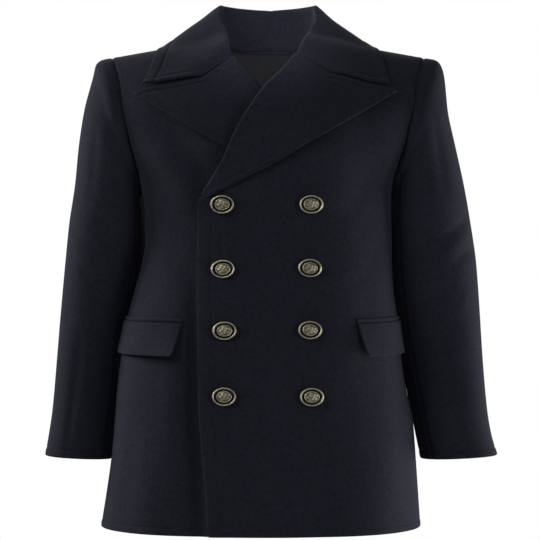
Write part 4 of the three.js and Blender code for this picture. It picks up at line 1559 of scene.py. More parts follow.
# Creases of the sleeves, as degrees round from the outer line by the front, and percent of the length
SLEEVE_CREASES = {
    Side.LEFT: (
        Crease(start=(20, 47), end=(88, 51), wide=1.5, out=-2.2, bow=1.0),
        Crease(start=(28, 51.5), end=(96, 56), wide=1.6, out=1.4, bow=1.0),
        Crease(start=(10, 56), end=(76, 60), wide=1.5, out=-1.9, bow=-0.8),
        Crease(start=(60, 62), end=(118, 67), wide=1.6, out=-1.5, bow=0.7),
        Crease(start=(40, 66), end=(96, 72), wide=2.0, out=1.2, bow=0.9),
        Crease(start=(150, 49), end=(212, 45), wide=1.7, out=-2.1, bow=1.0),
        Crease(start=(158, 55), end=(226, 51), wide=1.6, out=-1.7, bow=0.8),
        Crease(start=(62, 14), end=(70, 42), wide=9, out=-1.8, bow=3),
        Crease(start=(96, 20), end=(104, 46), wide=8, out=1.5, bow=-3),
        Crease(start=(244, 18), end=(262, 46), wide=9, out=-2.0, bow=4),
        Crease(start=(292, 22), end=(300, 54), wide=10, out=1.6, bow=-3),
        Crease(start=(88, 74), end=(96, 98), wide=9, out=-1.4, bow=3),
        Crease(start=(282, 70), end=(276, 96), wide=9, out=-1.5, bow=-3),
        Crease(start=(318, 46), end=(352, 52), wide=1.7, out=-1.3, bow=0.6),
    ),
    Side.RIGHT: (
        Crease(start=(24, 50), end=(92, 54), wide=1.6, out=-1.6, bow=0.9),
        Crease(start=(34, 55), end=(104, 60), wide=1.7, out=1.2, bow=0.9),
        Crease(start=(56, 60), end=(116, 66), wide=1.6, out=-1.7, bow=0.8),
        Crease(start=(30, 70), end=(82, 76), wide=2.0, out=-1.2, bow=-0.8),
        Crease(start=(152, 51), end=(214, 47), wide=1.7, out=-2.0, bow=1.0),
        Crease(start=(160, 58), end=(230, 53), wide=1.6, out=-1.6, bow=0.8),
        Crease(start=(58, 16), end=(64, 44), wide=9, out=-1.6, bow=-3),
        Crease(start=(94, 20), end=(100, 48), wide=8, out=1.5, bow=3),
        Crease(start=(250, 16), end=(264, 44), wide=9, out=-1.9, bow=4),
        Crease(start=(296, 24), end=(304, 52), wide=10, out=1.5, bow=3),
        Crease(start=(78, 76), end=(70, 99), wide=8, out=-2.4, bow=3),
        Crease(start=(280, 72), end=(288, 97), wide=9, out=-1.5, bow=3),
    ),
}


@dataclass
class Sleeve:
    """A two-piece set-in sleeve: a top sleeve over the shoulder and an under sleeve by the body."""

    side: Side
    wardrobe: Wardrobe
    stitching: Stitching
    roundness: float = 2.15
    cap_length: float = 0.22
    allowance: float = 2.6  # cloth tucked under the back's edge, behind the arm
    seam_reach: float = 0.02
    flap_z: float = -420.0
    flap_reach: float = 45.0
    skirt_depths: tuple[float, float] = (455.0, 485.0)
    skirt_relief: float = 1.9
    seam_half_deg: float = 0.02
    forearm_deg: float = 135.0
    hind_arm_deg: float = 255.0
    spacing: tuple[float, float] = (3.8, 4.6)
    columns: dict[str, Curve] = field(init=False)

    def __post_init__(self) -> None:
        """Reads the rings into curves of the share along the sleeve."""
        rings = SLEEVE_RINGS[self.side]
        keys = [ring.at for ring in rings]
        names = ("out_x", "out_z", "in_x", "in_z", "y", "deep")
        self.columns = {name: Curve(keys, [getattr(ring, name) for ring in rings]) for name in names}

    def _ring(self, at: Array, turn: Array) -> Array:
        """Points of the sleeve's rings, before the cap joins the armhole."""
        value = {name: curve(at) for name, curve in self.columns.items()}
        sign = self.side.sign
        outer = points(sign * value["out_x"], value["y"], value["out_z"])
        inner = points(sign * value["in_x"], value["y"], value["in_z"])

        def rounded(s: Array) -> Array:
            """A sine or cosine, made squarer."""
            return np.sign(s) * np.abs(s) ** (2 / self.roundness)

        reach = rounded(np.cos(np.radians(turn))) / 2
        spot = blend(inner, outer, (0.5 + reach)[..., None])
        spot[..., 1] -= value["deep"] * rounded(np.sin(np.radians(turn)))
        return spot

    def place(self, turn: Array, at: Array) -> Array:
        """Points of the sleeve's outer face.

        Args:
            turn: degrees round from the outer line, by the front.
            at: share of the way from the armhole to the cuff.

        Returns:
            The points.
        """
        turn, at = np.broadcast_arrays(np.asarray(turn, float), np.asarray(at, float))
        spot = self._ring(at, turn)
        fade = 1 - smooth(at, 0, self.cap_length)
        start = ARMHOLE_LINE.point(self.side.sign, turn) - self._ring(np.zeros_like(at), turn)
        spot = spot + start * fade[..., None]
        over_flap = bell(spot[..., 2] - self.flap_z, self.flap_reach)
        by_skirt = smooth(-spot[..., 2], *self.skirt_depths)
        clearance = SLEEVE_CLEARANCE + FLAP_CLEARANCE * over_flap - self.skirt_relief * by_skirt
        wanted = blend(SEAM_GAP, clearance, smooth(at, 0, 0.05))
        share = 1 - smooth(spot[..., 2], BREAST_Z, BREAST_Z + 50)
        return FORM.pushed_out(spot, wanted, share, wanted)

    @staticmethod
    def _over_shoulder(turn: Array) -> Array:
        """Share by which a turn lies over the shoulder, and not under the arm."""
        return smooth(np.cos(np.radians(turn)), -0.2, 0.6)

    def normal(self, turn: Array, at: Array) -> Array:
        """Outward directions of the sleeve, which join the body's own at the armhole."""
        down = self.place(turn, np.minimum(1, at + 0.012)) - self.place(turn, np.maximum(0, at - 0.012))
        across = self.place(turn + 2, at) - self.place(turn - 2, at)
        out = unit(np.cross(across, down) * self.side.sign)
        seam = FORM.normal(ARMHOLE_LINE.point(self.side.sign, turn))
        follows = self._over_shoulder(turn) * (1 - smooth(at, 0, self.seam_reach))
        return unit(blend(out, seam, follows[..., None]))

    def _crease_lift(self, turn: Array, at: Array) -> Array:
        """Height of the creases, which leave the seams and the side against the body alone."""
        percent = at * 100
        wrapped = np.mod(turn, 360)
        lift = sum(crease.lift(wrapped, percent) for crease in SLEEVE_CREASES[self.side])
        inner = 1 - 0.6 * bell(wrapped - 180, 55)
        return lift * inner * smooth(at, 0.02, 0.1)

    def build_piece(self, name: str, start: float, end: float) -> None:
        """Makes one piece of the sleeve and its cuff's stitching.

        Args:
            name: the piece's node.
            start: degrees at its first seam.
            end: degrees at its second.
        """
        edges = Edges(high=Edge(EdgeKind.FREE, CUFF_STITCH))
        turns = (start + self.seam_half_deg, end - self.seam_half_deg)
        spots = lattice(self.place, edges, self.spacing, turns, (0, 1))
        base = self.place(spots.u, spots.v)
        seam = self.place(spots.u, np.zeros_like(spots.v))
        away = unit(self.place(spots.u, np.full_like(spots.v, self.seam_reach)) - seam)
        behind = smooth(np.mod(spots.u, 360), 176, 198)
        tucked = self.allowance * behind * (1 - self._over_shoulder(spots.u))
        by_seam = 1 - smooth(spots.v, 0, self.seam_reach)
        base = base + away * ((SEAM_GAP - tucked) * by_seam)[..., None]
        normal = self.normal(spots.u, spots.v)
        out = self._crease_lift(spots.u, spots.v)
        shell = make_shell(base, normal, out, spots, edges, CLOTH)
        row = len(spots.v) - 1 - edges.high.stitch_line()
        self.stitching.add(shell.line(row=row))
        mesh = shell_mesh(name, shell, self.wardrobe.wool, self.wardrobe.lining)
        dress(name, mesh)

    def build(self) -> None:
        """Makes both pieces."""
        self.build_piece(f"top_sleeve_{self.side.value}", self.hind_arm_deg - 360, self.forearm_deg)
        self.build_piece(f"under_sleeve_{self.side.value}", self.forearm_deg, self.hind_arm_deg)


class Spot(NamedTuple):
    """A corner of a lapel seen from the front, x towards its own side."""

    x: float
    z: float


class LapelShape(NamedTuple):
    """The corners of a lapel."""

    notch: Spot
    tip: Spot
    foot: Spot


LAPEL_SHAPES = {
    Side.LEFT: LapelShape(notch=Spot(93, -34), tip=Spot(188, -57), foot=Spot(-84, -212)),
    Side.RIGHT: LapelShape(notch=Spot(97, -34), tip=Spot(197, -58.5), foot=Spot(-76, -214)),
}


@dataclass
class Lapel:
    """A peak lapel: facing that turns round the roll line and lies on the front."""

    side: Side
    wardrobe: Wardrobe
    stitching: Stitching
    sag: float = 4.0
    inside: float = 8.0
    notch_share: float = 0.38
    spacing: tuple[float, float] = (3.2, 3.2)
    stand_off: float = 5.5
    notch_rise: float = -0.8
    peak_rise: float = 4.8
    roll_steps: int = 14

    def plan(self, u: Array, v: Array) -> tuple[Array, Array]:
        """Where the lapel lies, seen from the front.

        Args:
            u: from the roll line to the outer edge.
            v: from the foot to the top.

        Returns:
            x towards the lapel's own side, and z.
        """
        notch, tip, foot = LAPEL_SHAPES[self.side]
        rows = ROLL[self.side]
        gorge = rows[-1]
        roll_z = blend(rows[0].z, gorge.z, v)
        roll_x = curve_of(rows)(roll_z)
        edge_x = blend(foot.x, tip.x, v)
        edge_z = blend(foot.z, tip.z, v) - self.sag * np.sin(np.pi * v)
        first = np.clip(u / self.notch_share, 0, 1)
        second = np.clip((u - self.notch_share) / (1 - self.notch_share), 0, 1)
        top_x = blend(gorge.x, notch.x, first) + (tip.x - notch.x) * second
        notch_z = notch.z + self.notch_rise
        top_z = blend(gorge.z, notch_z, first) + (tip.z - notch_z) * second
        top_z = top_z + self.peak_rise * second * (1 - second**12)
        bend = v**3
        x = blend(roll_x, edge_x, u) + bend * (top_x - blend(gorge.x, tip.x, u))
        z = blend(roll_z, edge_z, u) + bend * (top_z - blend(gorge.z, tip.z, u))
        return x, z

    def place(self, u: Array, v: Array) -> Array:
        """Points of the form under the lapel."""
        x, z = self.plan(u, v)
        return FORM.at(self.side.sign * x, z)

    @property
    def roll_radius(self) -> float:
        """Distance from the middle of the roll to the facing's outside."""
        return CLOTH / 2 + FACING + LAPEL_GAP

    def roll(self, v: Array) -> tuple[Array, Array, Array]:
        """Middle line of the roll, with its outward and inward directions."""
        crest = self.place(np.zeros_like(v), v)
        normal = FORM.normal(crest)
        inward = unit(crest - self.place(np.full_like(v, 0.02), v))
        height = front_lift(self.side, crest[..., 0], crest[..., 2]) - CLOTH / 2
        middle = crest + normal * height[..., None] - inward * self.roll_radius
        return middle, normal, inward

    def _turned(self, v: Array) -> Shell:
        """The part that turns round the roll, from the inside of the coat to its outside."""
        radius = self.roll_radius
        middle, normal, inward = self.roll(v)
        face, back, way = [], [], []
        flap = self.inside * (0.35 + 0.65 * v)
        for share in (1.0, 0.66, 0.33):
            centre = middle - inward * (flap * share)[..., None]
            face.append(centre - normal * radius)
            back.append(centre - normal * (radius - FACING))
            way.append(-normal)
        for bend in np.linspace(180, 0, self.roll_steps)[:-1]:
            turned = math.radians(bend)
            direction = normal * math.cos(turned) + inward * math.sin(turned)
            face.append(middle + direction * radius)
            back.append(middle + direction * (radius - FACING))
            way.append(direction)
        stack = [np.stack(rows, axis=1) for rows in (face, back, way)]
        near = np.zeros(stack[0].shape[:2])
        return Shell(face=stack[0], back=stack[1], normal=stack[2], edge=near, inside_wool=near < 1)

    def build(self) -> None:
        """Makes the lapel and its topstitching."""
        edges = Edges(
            left=Edge(EdgeKind.CUT),
            right=Edge(EdgeKind.FREE, LAPEL_STITCH),
            low=Edge(EdgeKind.FREE),
            high=Edge(EdgeKind.FREE, LAPEL_STITCH),
        )
        spots = lattice(self.place, edges, self.spacing)
        base = self.place(spots.u, spots.v)
        normal = FORM.normal(base)
        out = front_lift(self.side, base[..., 0], base[..., 2]) + FACING + LAPEL_GAP
        out = out + self.stand_off * bell(spots.right, 20) * smooth(spots.v, 0.02, 0.3)
        past_notch = {"high": smooth(spots.u, self.notch_share - 0.015, self.notch_share + 0.015)}
        flat = make_shell(base, normal, out, spots, edges, FACING + 0.5, past_notch)
        flat.inside_wool[:] = True
        shell = self._turned(spots.v[:, 0]).beside(flat)
        row = len(spots.v) - 1 - edges.high.stitch_line()
        column = spots.v.shape[1] - 1 - edges.right.stitch_line()
        lifted = flat.lifted
        start = int((spots.v[:, column] < 0.05).sum())
        self.stitching.add(lifted[start : row + 1, column])
        past = int((spots.u[row] < self.notch_share + 0.03).sum())
        self.stitching.add(lifted[row, past : column + 1])
        node = f"lapel_{self.side.value}"
        mesh = shell_mesh(node, shell, self.wardrobe.wool, self.wardrobe.wool)
        dress(node, mesh)


class Station(NamedTuple):
    """A section of the collar, from the centre back at 0 to its front end at 1."""

    at: float
    fold_x: float
    fold_y: float
    fold_z: float
    edge_x: float
    edge_y: float
    edge_z: float


COLLAR_STATIONS = (
    Station(0, 0, 82, 86, 0, 106, -12),
    Station(0.18, 38, 74, 87.5, 62, 101, -10),
    Station(0.36, 72, 48, 90, 118, 76, 2),
    Station(0.54, 73, 22, 69, 156, 24, 22),
    Station(0.77, 60, -9, 42, 171, -34, 0),
    Station(1, 42, -60, 5, 180, -74, -44),
)


@dataclass
class Collar:
    """The collar: its stand rises from the neck, folds over and falls to the collar's edge."""

    wardrobe: Wardrobe
    stitching: Stitching
    fold_radius: float = 4.7
    fold_spare: float = 3.0
    fall_gap: float = 0.6
    end_gap: float = 0.7
    seam_ease: float = 2.0
    lead: float = 0.06
    bulge: dict[Side, float] = field(default_factory=lambda: {Side.LEFT: 6.0, Side.RIGHT: 9.0})
    shoulder_at: float = 0.54
    foot_share: float = 0.05
    stand_share: float = 0.34
    fold_share: float = 0.44
    knee: float = 0.4
    right_corner_shift: float = 6.0
    end_lift: float = 3.2
    spacing: tuple[float, float] = (3.2, 3.6)
    columns: dict[str, Curve] = field(init=False)
    ends: dict[Side, tuple[Array, Array]] = field(init=False)

    def __post_init__(self) -> None:
        """Reads the stations into curves of the share round the collar, and its ends off the lapels."""
        keys = [-row.at for row in COLLAR_STATIONS[:0:-1]] + [row.at for row in COLLAR_STATIONS]
        self.columns = {}
        for name in Station._fields[1:]:
            half = [getattr(row, name) for row in COLLAR_STATIONS]
            mirror = -1 if name.endswith("_x") else 1
            self.columns[name] = Curve(keys, [mirror * value for value in half[:0:-1]] + half)
        self.ends = {side: self._end(side) for side in Side}

    def _end(self, side: Side) -> tuple[Array, Array]:
        """Middle and inward direction of the roll where a lapel hands it on to the collar."""
        middle, normal, inward = Lapel(side, self.wardrobe, self.stitching).roll(np.ones(1))
        along = np.cross(inward[0], normal[0])
        return middle[0] + along * np.sign(along[2]) * self.end_gap, inward[0]

    def _seam(self, v: Array) -> Array:
        """Points of the neck seam, where the stand starts."""
        at, sign = np.abs(v), np.where(v < 0, -1, 1)
        back_x = NECK_HALF_WIDTH * np.sin(np.pi / 2 * np.minimum(at / self.shoulder_at, 1))
        share = np.clip((at - self.shoulder_at) / (1 - self.shoulder_at), 0, 1) ** self.seam_ease
        gorge_x = np.where(v < 0, ROLL[Side.RIGHT][-1].x, ROLL[Side.LEFT][-1].x) + ROLL_SETBACK
        gorge_z = ROLL[Side.LEFT][-1].z
        is_back = at <= self.shoulder_at
        x = np.where(is_back, back_x, blend(NECK_HALF_WIDTH, gorge_x, share))
        z = np.where(is_back, back_top(back_x), blend(NECK_POINT_Z, gorge_z, share))
        return FORM.at(sign * x, z, ~is_back)

    def _stations(self, v: Array) -> dict[str, Array]:
        """Fold, edge, upward direction and middle of the fold by the table alone."""
        ahead = v + np.sign(v) * self.lead * np.sin(np.pi * np.abs(v)) ** 2
        value = {name: curve(ahead) for name, curve in self.columns.items()}
        base = self._seam(v)
        fold = points(value["fold_x"], value["fold_y"], value["fold_z"])
        corner = self.right_corner_shift * smooth(-v, 0.8, 1)
        edge = points(value["edge_x"] - corner, value["edge_y"], value["edge_z"])
        up = unit(unit(fold - base) + unit(fold - edge))
        return {"base": base, "edge": edge, "up": up, "centre": fold - up * self.fold_radius}

    def _axes(self, v: Array) -> dict[str, Array]:
        """The points and directions that a section hangs on."""
        axes = self._stations(v)
        at = np.abs(v)
        centre, up = axes["centre"], axes["up"]
        for side, (end_centre, end_up) in self.ends.items():
            own = np.where(v * side.sign > 0, smooth(at, 0.66, 1), 0)[..., None]
            table_end = self._stations(np.array([float(side.sign)]))["centre"][0]
            centre = centre + (end_centre - table_end) * own
            up = unit(blend(up, end_up, own))
        centre = self._clear_fold(centre, v)
        outward = unit(axes["edge"] - axes["base"])
        outward = blend(outward, FORM.normal(centre), smooth(at, 0.7, 0.95)[..., None])
        outward = unit(outward - up * np.sum(outward * up, axis=-1, keepdims=True))
        return axes | {"up": up, "outward": outward, "centre": centre}

    def _clear_fold(self, centre: Array, v: Array) -> Array:
        """Holds the fold far enough off the fronts for the fall to pass over them."""
        at = np.abs(v)
        under = np.where(v > 0, upper_lift(centre[..., 0], centre[..., 2]), 0) - CLOTH / 2
        spare = self.fold_spare * smooth(at, 0.6, 0.8) * (1 - smooth(at, 0.84, 1))
        soft = np.full_like(v, self.fold_spare) * (1 - smooth(at, 0.9, 1))
        return FORM.pushed_out(centre, under + spare, smooth(at, 0.6, 0.75), soft)

    def _fall(self, axes: dict[str, Array], v: Array, share: Array) -> Array:
        """Points of the fall, from the fold to the collar's edge."""
        at, sign = np.abs(v), np.where(v < 0, -1, 1)
        start = axes["centre"] + axes["outward"] * self.fold_radius
        notch_x = np.where(v < 0, LAPEL_SHAPES[Side.RIGHT].notch.x, LAPEL_SHAPES[Side.LEFT].notch.x)
        notch_base = FORM.at(sign * (notch_x + 0.5), np.full_like(v, LAPEL_SHAPES[Side.LEFT].notch.z + 1.5))
        notch = notch_base + FORM.normal(notch_base) * COLLAR_CLOTH
        front = (np.maximum(at - 0.6, 0) / 0.4) ** 1.6
        knee = self.knee
        toward = notch - blend(start, axes["edge"], knee)
        sharp = np.where(share < knee, share / knee, (1 - share) / (1 - knee))
        round_bend = np.sin(np.pi * share ** (math.log(0.5) / math.log(knee)))
        bend = blend(round_bend, sharp, smooth(at, 0.86, 1))
        round_out = np.where(v < 0, self.bulge[Side.RIGHT], self.bulge[Side.LEFT])
        round_out = round_out * (1 - front) * np.sin(np.pi * share**0.6)
        spot = blend(start, axes["edge"], share[..., None])
        spot = spot + toward * (front * bend)[..., None] + axes["outward"] * round_out[..., None]
        is_upper = (v > 0) & (spot[..., 1] < 0)
        clearance = COLLAR_CLOTH + self.fall_gap + np.where(is_upper, upper_lift(spot[..., 0], spot[..., 2]), 0)
        return FORM.pushed_out(spot, clearance, 1.0, np.zeros_like(clearance))

    def place(self, u: Array, v: Array) -> Array:
        """Points of the collar's face: u runs from the neck seam over the fold to the edge."""
        axes = self._axes(v)
        base, up, outward, centre = (axes[name] for name in ("base", "up", "outward", "centre"))
        inside = centre - outward * self.fold_radius
        base_normal = FORM.normal(base)
        into = inside - base
        into = unit(into - base_normal * np.sum(into * base_normal, axis=-1, keepdims=True))
        root = base - base_normal * COLLAR_CLOTH + into * (SEAM_GAP + 0.1)
        foot = base - outward * (COLLAR_CLOTH + self.fall_gap) + up * 4

        def part(start: float, end: float) -> Array:
            """Share of the way through one part of the collar."""
            return np.clip((u - start) / (end - start), 0, 1)

        in_foot = part(0, self.foot_share)[..., None]
        in_stand = part(self.foot_share, self.stand_share)[..., None]
        below = inside - up * (0.5 * np.linalg.norm(inside - foot, axis=-1))[..., None]
        rising = blend(blend(root, foot, in_foot), below, in_stand)
        stand = blend(rising, blend(below, inside, in_stand), in_stand)
        bend = np.pi * (1 - part(self.stand_share, self.fold_share))[..., None]
        fold = centre + (outward * np.cos(bend) + up * np.sin(bend)) * self.fold_radius
        fall = self._fall(axes, v, part(self.fold_share, 1))
        wide_u = u[..., None]
        return np.where(wide_u <= self.stand_share, stand, np.where(wide_u <= self.fold_share, fold, fall))

    @property
    def notch_at(self) -> float:
        """u of the notches, inside which the collar's ends are sewn to the lapels."""
        return self.fold_share + (1 - self.fold_share) * self.knee

    def build(self) -> None:
        """Makes the collar and its topstitching."""
        edges = Edges(
            left=Edge(EdgeKind.SEWN),
            right=Edge(EdgeKind.FREE, COLLAR_STITCH),
            low=Edge(EdgeKind.FREE, COLLAR_END_STITCH),
            high=Edge(EdgeKind.FREE, COLLAR_END_STITCH),
        )
        spots = lattice(self.place, edges, self.spacing, v_range=(-1, 1))
        base = softened(self.place(spots.u, spots.v), 3)
        across = np.gradient(base, axis=1)
        along = np.gradient(base, axis=0)
        normal = unit(np.cross(across, along))
        if np.mean(normal[len(normal) // 2, -20:, 1]) < 0:
            normal = -normal
        beyond = smooth(spots.u, self.notch_at - 0.01, self.notch_at + 0.02)
        past_notch = {"low": beyond, "high": beyond}
        past_end = smooth(spots.u, self.notch_at - 0.01, self.notch_at + 0.08)
        out = self.end_lift * bell(np.minimum(spots.low, spots.high), 15) * past_end
        shell = make_shell(base, normal, out, spots, edges, COLLAR_CLOTH, past_notch)
        shell.inside_wool[:] = True
        column = spots.v.shape[1] - 1 - edges.right.stitch_line()
        row = edges.low.stitch_line()
        last = len(spots.v) - 1 - row
        lifted = shell.lifted
        past = int((spots.u[row] < self.notch_at).sum())
        self.stitching.add(lifted[row : last + 1, column])
        self.stitching.add(lifted[row, past : column + 1])
        self.stitching.add(lifted[last, past : column + 1])
        mesh = shell_mesh("collar", shell, self.wardrobe.wool, self.wardrobe.wool)
        dress("collar", mesh)


def softened(grid: Array, times: int) -> Array:
    """Evens out a grid of points a little, and keeps its border."""
    for _ in range(times):
        inner = grid[1:-1, 1:-1]
        around = grid[:-2, 1:-1] + grid[2:, 1:-1] + grid[1:-1, :-2] + grid[1:-1, 2:]
        grid = grid.copy()
        grid[1:-1, 1:-1] = 0.5 * inner + 0.125 * around
    return grid


class PocketPart(NamedTuple):
    """Measures of a flap or a welt: heights of its edges, how far its front edge leans back, its cloth."""

    top: float
    bottom: float
    slant: float
    cloth: float


FLAP = PocketPart(top=-393.4, bottom=-442.5, slant=9.0, cloth=3.0)
WELT = PocketPart(top=-387.0, bottom=-392.7, slant=0.0, cloth=1.8)
POCKET_FRONT_X = {Side.LEFT: 129.0, Side.RIGHT: 125.0}


@dataclass
class Pocket:
    """A side pocket: a narrow welt and the flap that hangs below it."""

    side: Side
    wardrobe: Wardrobe
    stitching: Stitching
    tilt: float = 3.2
    back_deg: float = 88.0
    stand: float = 14.0
    corner: float = 4.0
    flap_width: float = 128.0
    spacing: tuple[float, float] = (2.6, 2.6)

    def _round_corners(self, u: Array, v: Array, height: float) -> tuple[Array, Array]:
        """Draws the flap's two lower corners in to an arc.

        Args:
            u: share of the flap's width.
            v: share of its height.
            height: of the flap.

        Returns:
            The moved shares.
        """
        reach_u, reach_v = self.corner / self.flap_width, self.corner / height
        a = np.clip(1 - np.minimum(u, 1 - u) / reach_u, 0, 1)
        b = np.clip(1 - (1 - v) / reach_v, 0, 1)
        moved_a = a * np.sqrt(1 - b * b / 2)
        moved_b = b * np.sqrt(1 - a * a / 2)
        inward = (a - moved_a) * reach_u
        return np.where(u < 0.5, u + inward, u - inward), v - (b - moved_b) * reach_v

    def _piece(self, name: str, part: PocketPart, edges: Edges) -> None:
        """Makes the flap or the welt.

        Args:
            name: the piece's node.
            part: its measures.
            edges: its edges.
        """
        sign = self.side.sign
        front_x = POCKET_FRONT_X[self.side]

        def place(u: Array, v: Array) -> Array:
            """Points of the form under the piece."""
            if part is FLAP:
                u, v = self._round_corners(u, v, part.top - part.bottom)
            z = blend(part.top, part.bottom, v) - self.tilt * (1 - u)
            start = FORM.angle_of(sign * (front_x + part.slant * v), z)
            return FORM.round(blend(start, sign * self.back_deg, u), z)

        spots = lattice(place, edges, self.spacing)
        base = place(spots.u, spots.v)
        off = self.stand * spots.v**1.3 * (0.22 + 0.78 * (1 - spots.u) ** 4) if part is FLAP else 0
        out = front_lift(self.side, base[..., 0], base[..., 2]) + POCKET_GAP + part.cloth + off
        shell = make_shell(base, FORM.normal(base), out, spots, edges, part.cloth)
        shell.inside_wool[:] = True
        mesh = shell_mesh(name, shell, self.wardrobe.wool, self.wardrobe.wool)
        dress(name, mesh)

    def build(self) -> None:
        """Makes the welt and the flap."""
        free, sewn = Edge(EdgeKind.FREE), Edge(EdgeKind.SEWN)
        flap_edges = Edges(left=free, right=free, low=free, high=free)
        self._piece(f"pocket_flap_{self.side.value}", FLAP, flap_edges)
        welt_edges = Edges(left=free, right=free, low=free, high=sewn)
        self._piece(f"pocket_welt_{self.side.value}", WELT, welt_edges)


class ButtonPlace(NamedTuple):
    """Where a button is sewn: x across the coat, and height."""

    x: float
    z: float


BUTTON_PLACES = (
    ButtonPlace(-64, -222),
    ButtonPlace(60.5, -222),
    ButtonPlace(-64, -317.6),
    ButtonPlace(59.5, -316),
    ButtonPlace(-61.5, -407),
    ButtonPlace(59.5, -406),
    ButtonPlace(-62, -501.5),
    ButtonPlace(62, -502),
)


@dataclass
class Buttons:
    """Eight oval metal shank buttons, with a worn rim, a dark groove and a pebbled dome."""

    wardrobe: Wardrobe
    half_width: float = 17.8
    half_height: float = 13.4
    thick: float = 4.4
    shank_length: float = 3.2
    around: int = 88
    rim_steps: int = 12
    dome_steps: int = 16
    pebbles: int = 9
    pebble_size: float = 0.11
    pebble_reach: float = 0.46
    pebble_height: float = 0.45

    def _profile(self) -> list[tuple[float, float, float]]:
        """Radius as a share of the half height, height and wear, from the shank to the middle."""
        t = self.thick
        rim = []
        for step in range(self.rim_steps + 1):
            bend = math.radians(-35 + 205 * step / self.rim_steps)
            wear = 0.2 + 0.62 * bell(step - 8, 3)
            rim.append((0.915 + 0.085 * math.cos(bend), 0.6 * t + 0.32 * t * math.sin(bend), wear))
        shank = [(0.0, -1.0, 0.3), (0.2, -1.0, 0.3), (0.24, -0.6, 0.3)]
        shank = [(radius, share * self.shank_length, wear) for radius, share, wear in shank]
        back = [(0.24, -0.05, 0.2), (0.55, 0.0, 0.2), (0.9, 0.06, 0.3), (0.97, 0.25 * t, 0.4)]
        # a wear of 0 marks the groove, which the brass paints near-black as grime and painted shade
        groove = [(0.826, 0.5), (0.815, 0.2), (0.73, 0.1), (0.65, 0.2), (0.64, 0.5)]
        groove = [(radius, share * t, 0.0) for radius, share in groove]
        bead = [(0.634, 0.64, 0.4), (0.622, 0.76, 0.75), (0.6, 0.81, 0.95), (0.575, 0.74, 0.3)]
        bead = [(radius, share * t, wear) for radius, share, wear in bead]
        dome = []
        for step in range(self.dome_steps + 1):
            share = 1 - step / self.dome_steps
            dome.append((0.55 * share, t * (0.7 + 0.25 * (1 - share**2)), 0.4))
        return shank + back + rim + groove + bead + dome

    def _pebble(self, x: Array, y: Array) -> Array:
        """Height of the small pebbles on the dome, set out like seeds."""
        golden = math.pi * (3 - math.sqrt(5))
        height = np.zeros_like(x)
        for i in range(self.pebbles):
            reach = self.pebble_reach * math.sqrt((i + 0.5) / self.pebbles)
            px, py = reach * math.cos(golden * i), reach * math.sin(golden * i)
            height = np.maximum(height, bell(np.hypot(x - px, y - py), self.pebble_size))
        return height

    def _shape(self) -> tuple[Array, Array, Array]:
        """Points, quads and wear of a button that faces up at the origin."""
        profile = np.array(self._profile())
        radius, height, wear = profile[:, 0], profile[:, 1], profile[:, 2]
        radius = np.maximum(radius, 0.004)
        angle = np.linspace(0, 2 * np.pi, self.around, endpoint=False)
        r, a = np.meshgrid(radius, angle, indexing="ij")
        x, y = r * np.cos(a), r * np.sin(a)
        z = np.broadcast_to(height[:, None], r.shape).copy()
        worn = np.broadcast_to(wear[:, None], r.shape).copy()
        dome_start = len(profile) - self.dome_steps - 1
        is_dome = (np.arange(len(profile)) >= dome_start)[:, None] & (r < 0.54)
        pebble = self._pebble(x, y)
        z += np.where(is_dome, self.pebble_height * pebble, 0)
        worn += np.where(is_dome, 0.5 * pebble - 0.22, 0)
        spots = points(x * self.half_width, y * self.half_height, z).reshape(-1, 3)
        rows = len(radius)
        ids = np.arange(rows * self.around).reshape(rows, self.around)
        ahead = np.roll(ids, -1, axis=1)
        quads = np.stack([ids[:-1], ahead[:-1], ahead[1:], ids[1:]], axis=-1).reshape(-1, 4)
        return spots, quads, worn.reshape(-1)

    def build(self) -> None:
        """Makes the buttons and seats each one on the front."""
        spots, quads, wear = self._shape()
        last = len(spots) - self.around
        caps = [list(range(self.around))[::-1], list(range(last, len(spots)))]
        for number, place in enumerate(BUTTON_PLACES, start=1):
            foot, normal = on_front(place.x, place.z, SEAM_GAP + self.shank_length)
            width_way = unit(np.array([1.0, 0.0, 0.0]) - normal * normal[0])
            height_way = np.cross(normal, width_way)
            axes = np.stack([width_way, height_way, normal])
            moved = spots @ axes + foot
            name = f"button_{number}"
            mesh = mesh_of(name, moved, quads.tolist() + caps, [self.wardrobe.brass])
            set_value(mesh, "wear", wear)
            made = show(f"{name}_metal", mesh)
            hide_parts(name)
            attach(made, "root")
        LOG.info("8 buttons: %d quads each", len(quads))


# Rings round a buttonhole's slit, as reach from its middle line and height above the cloth
BUTTONHOLE_RINGS = (
    (0.12, -0.5),
    (0.35, 0.05),
    (0.9, 0.5),
    (1.5, 0.62),
    (2.1, 0.42),
    (2.5, 0.02),
    (2.5, -0.5),
)


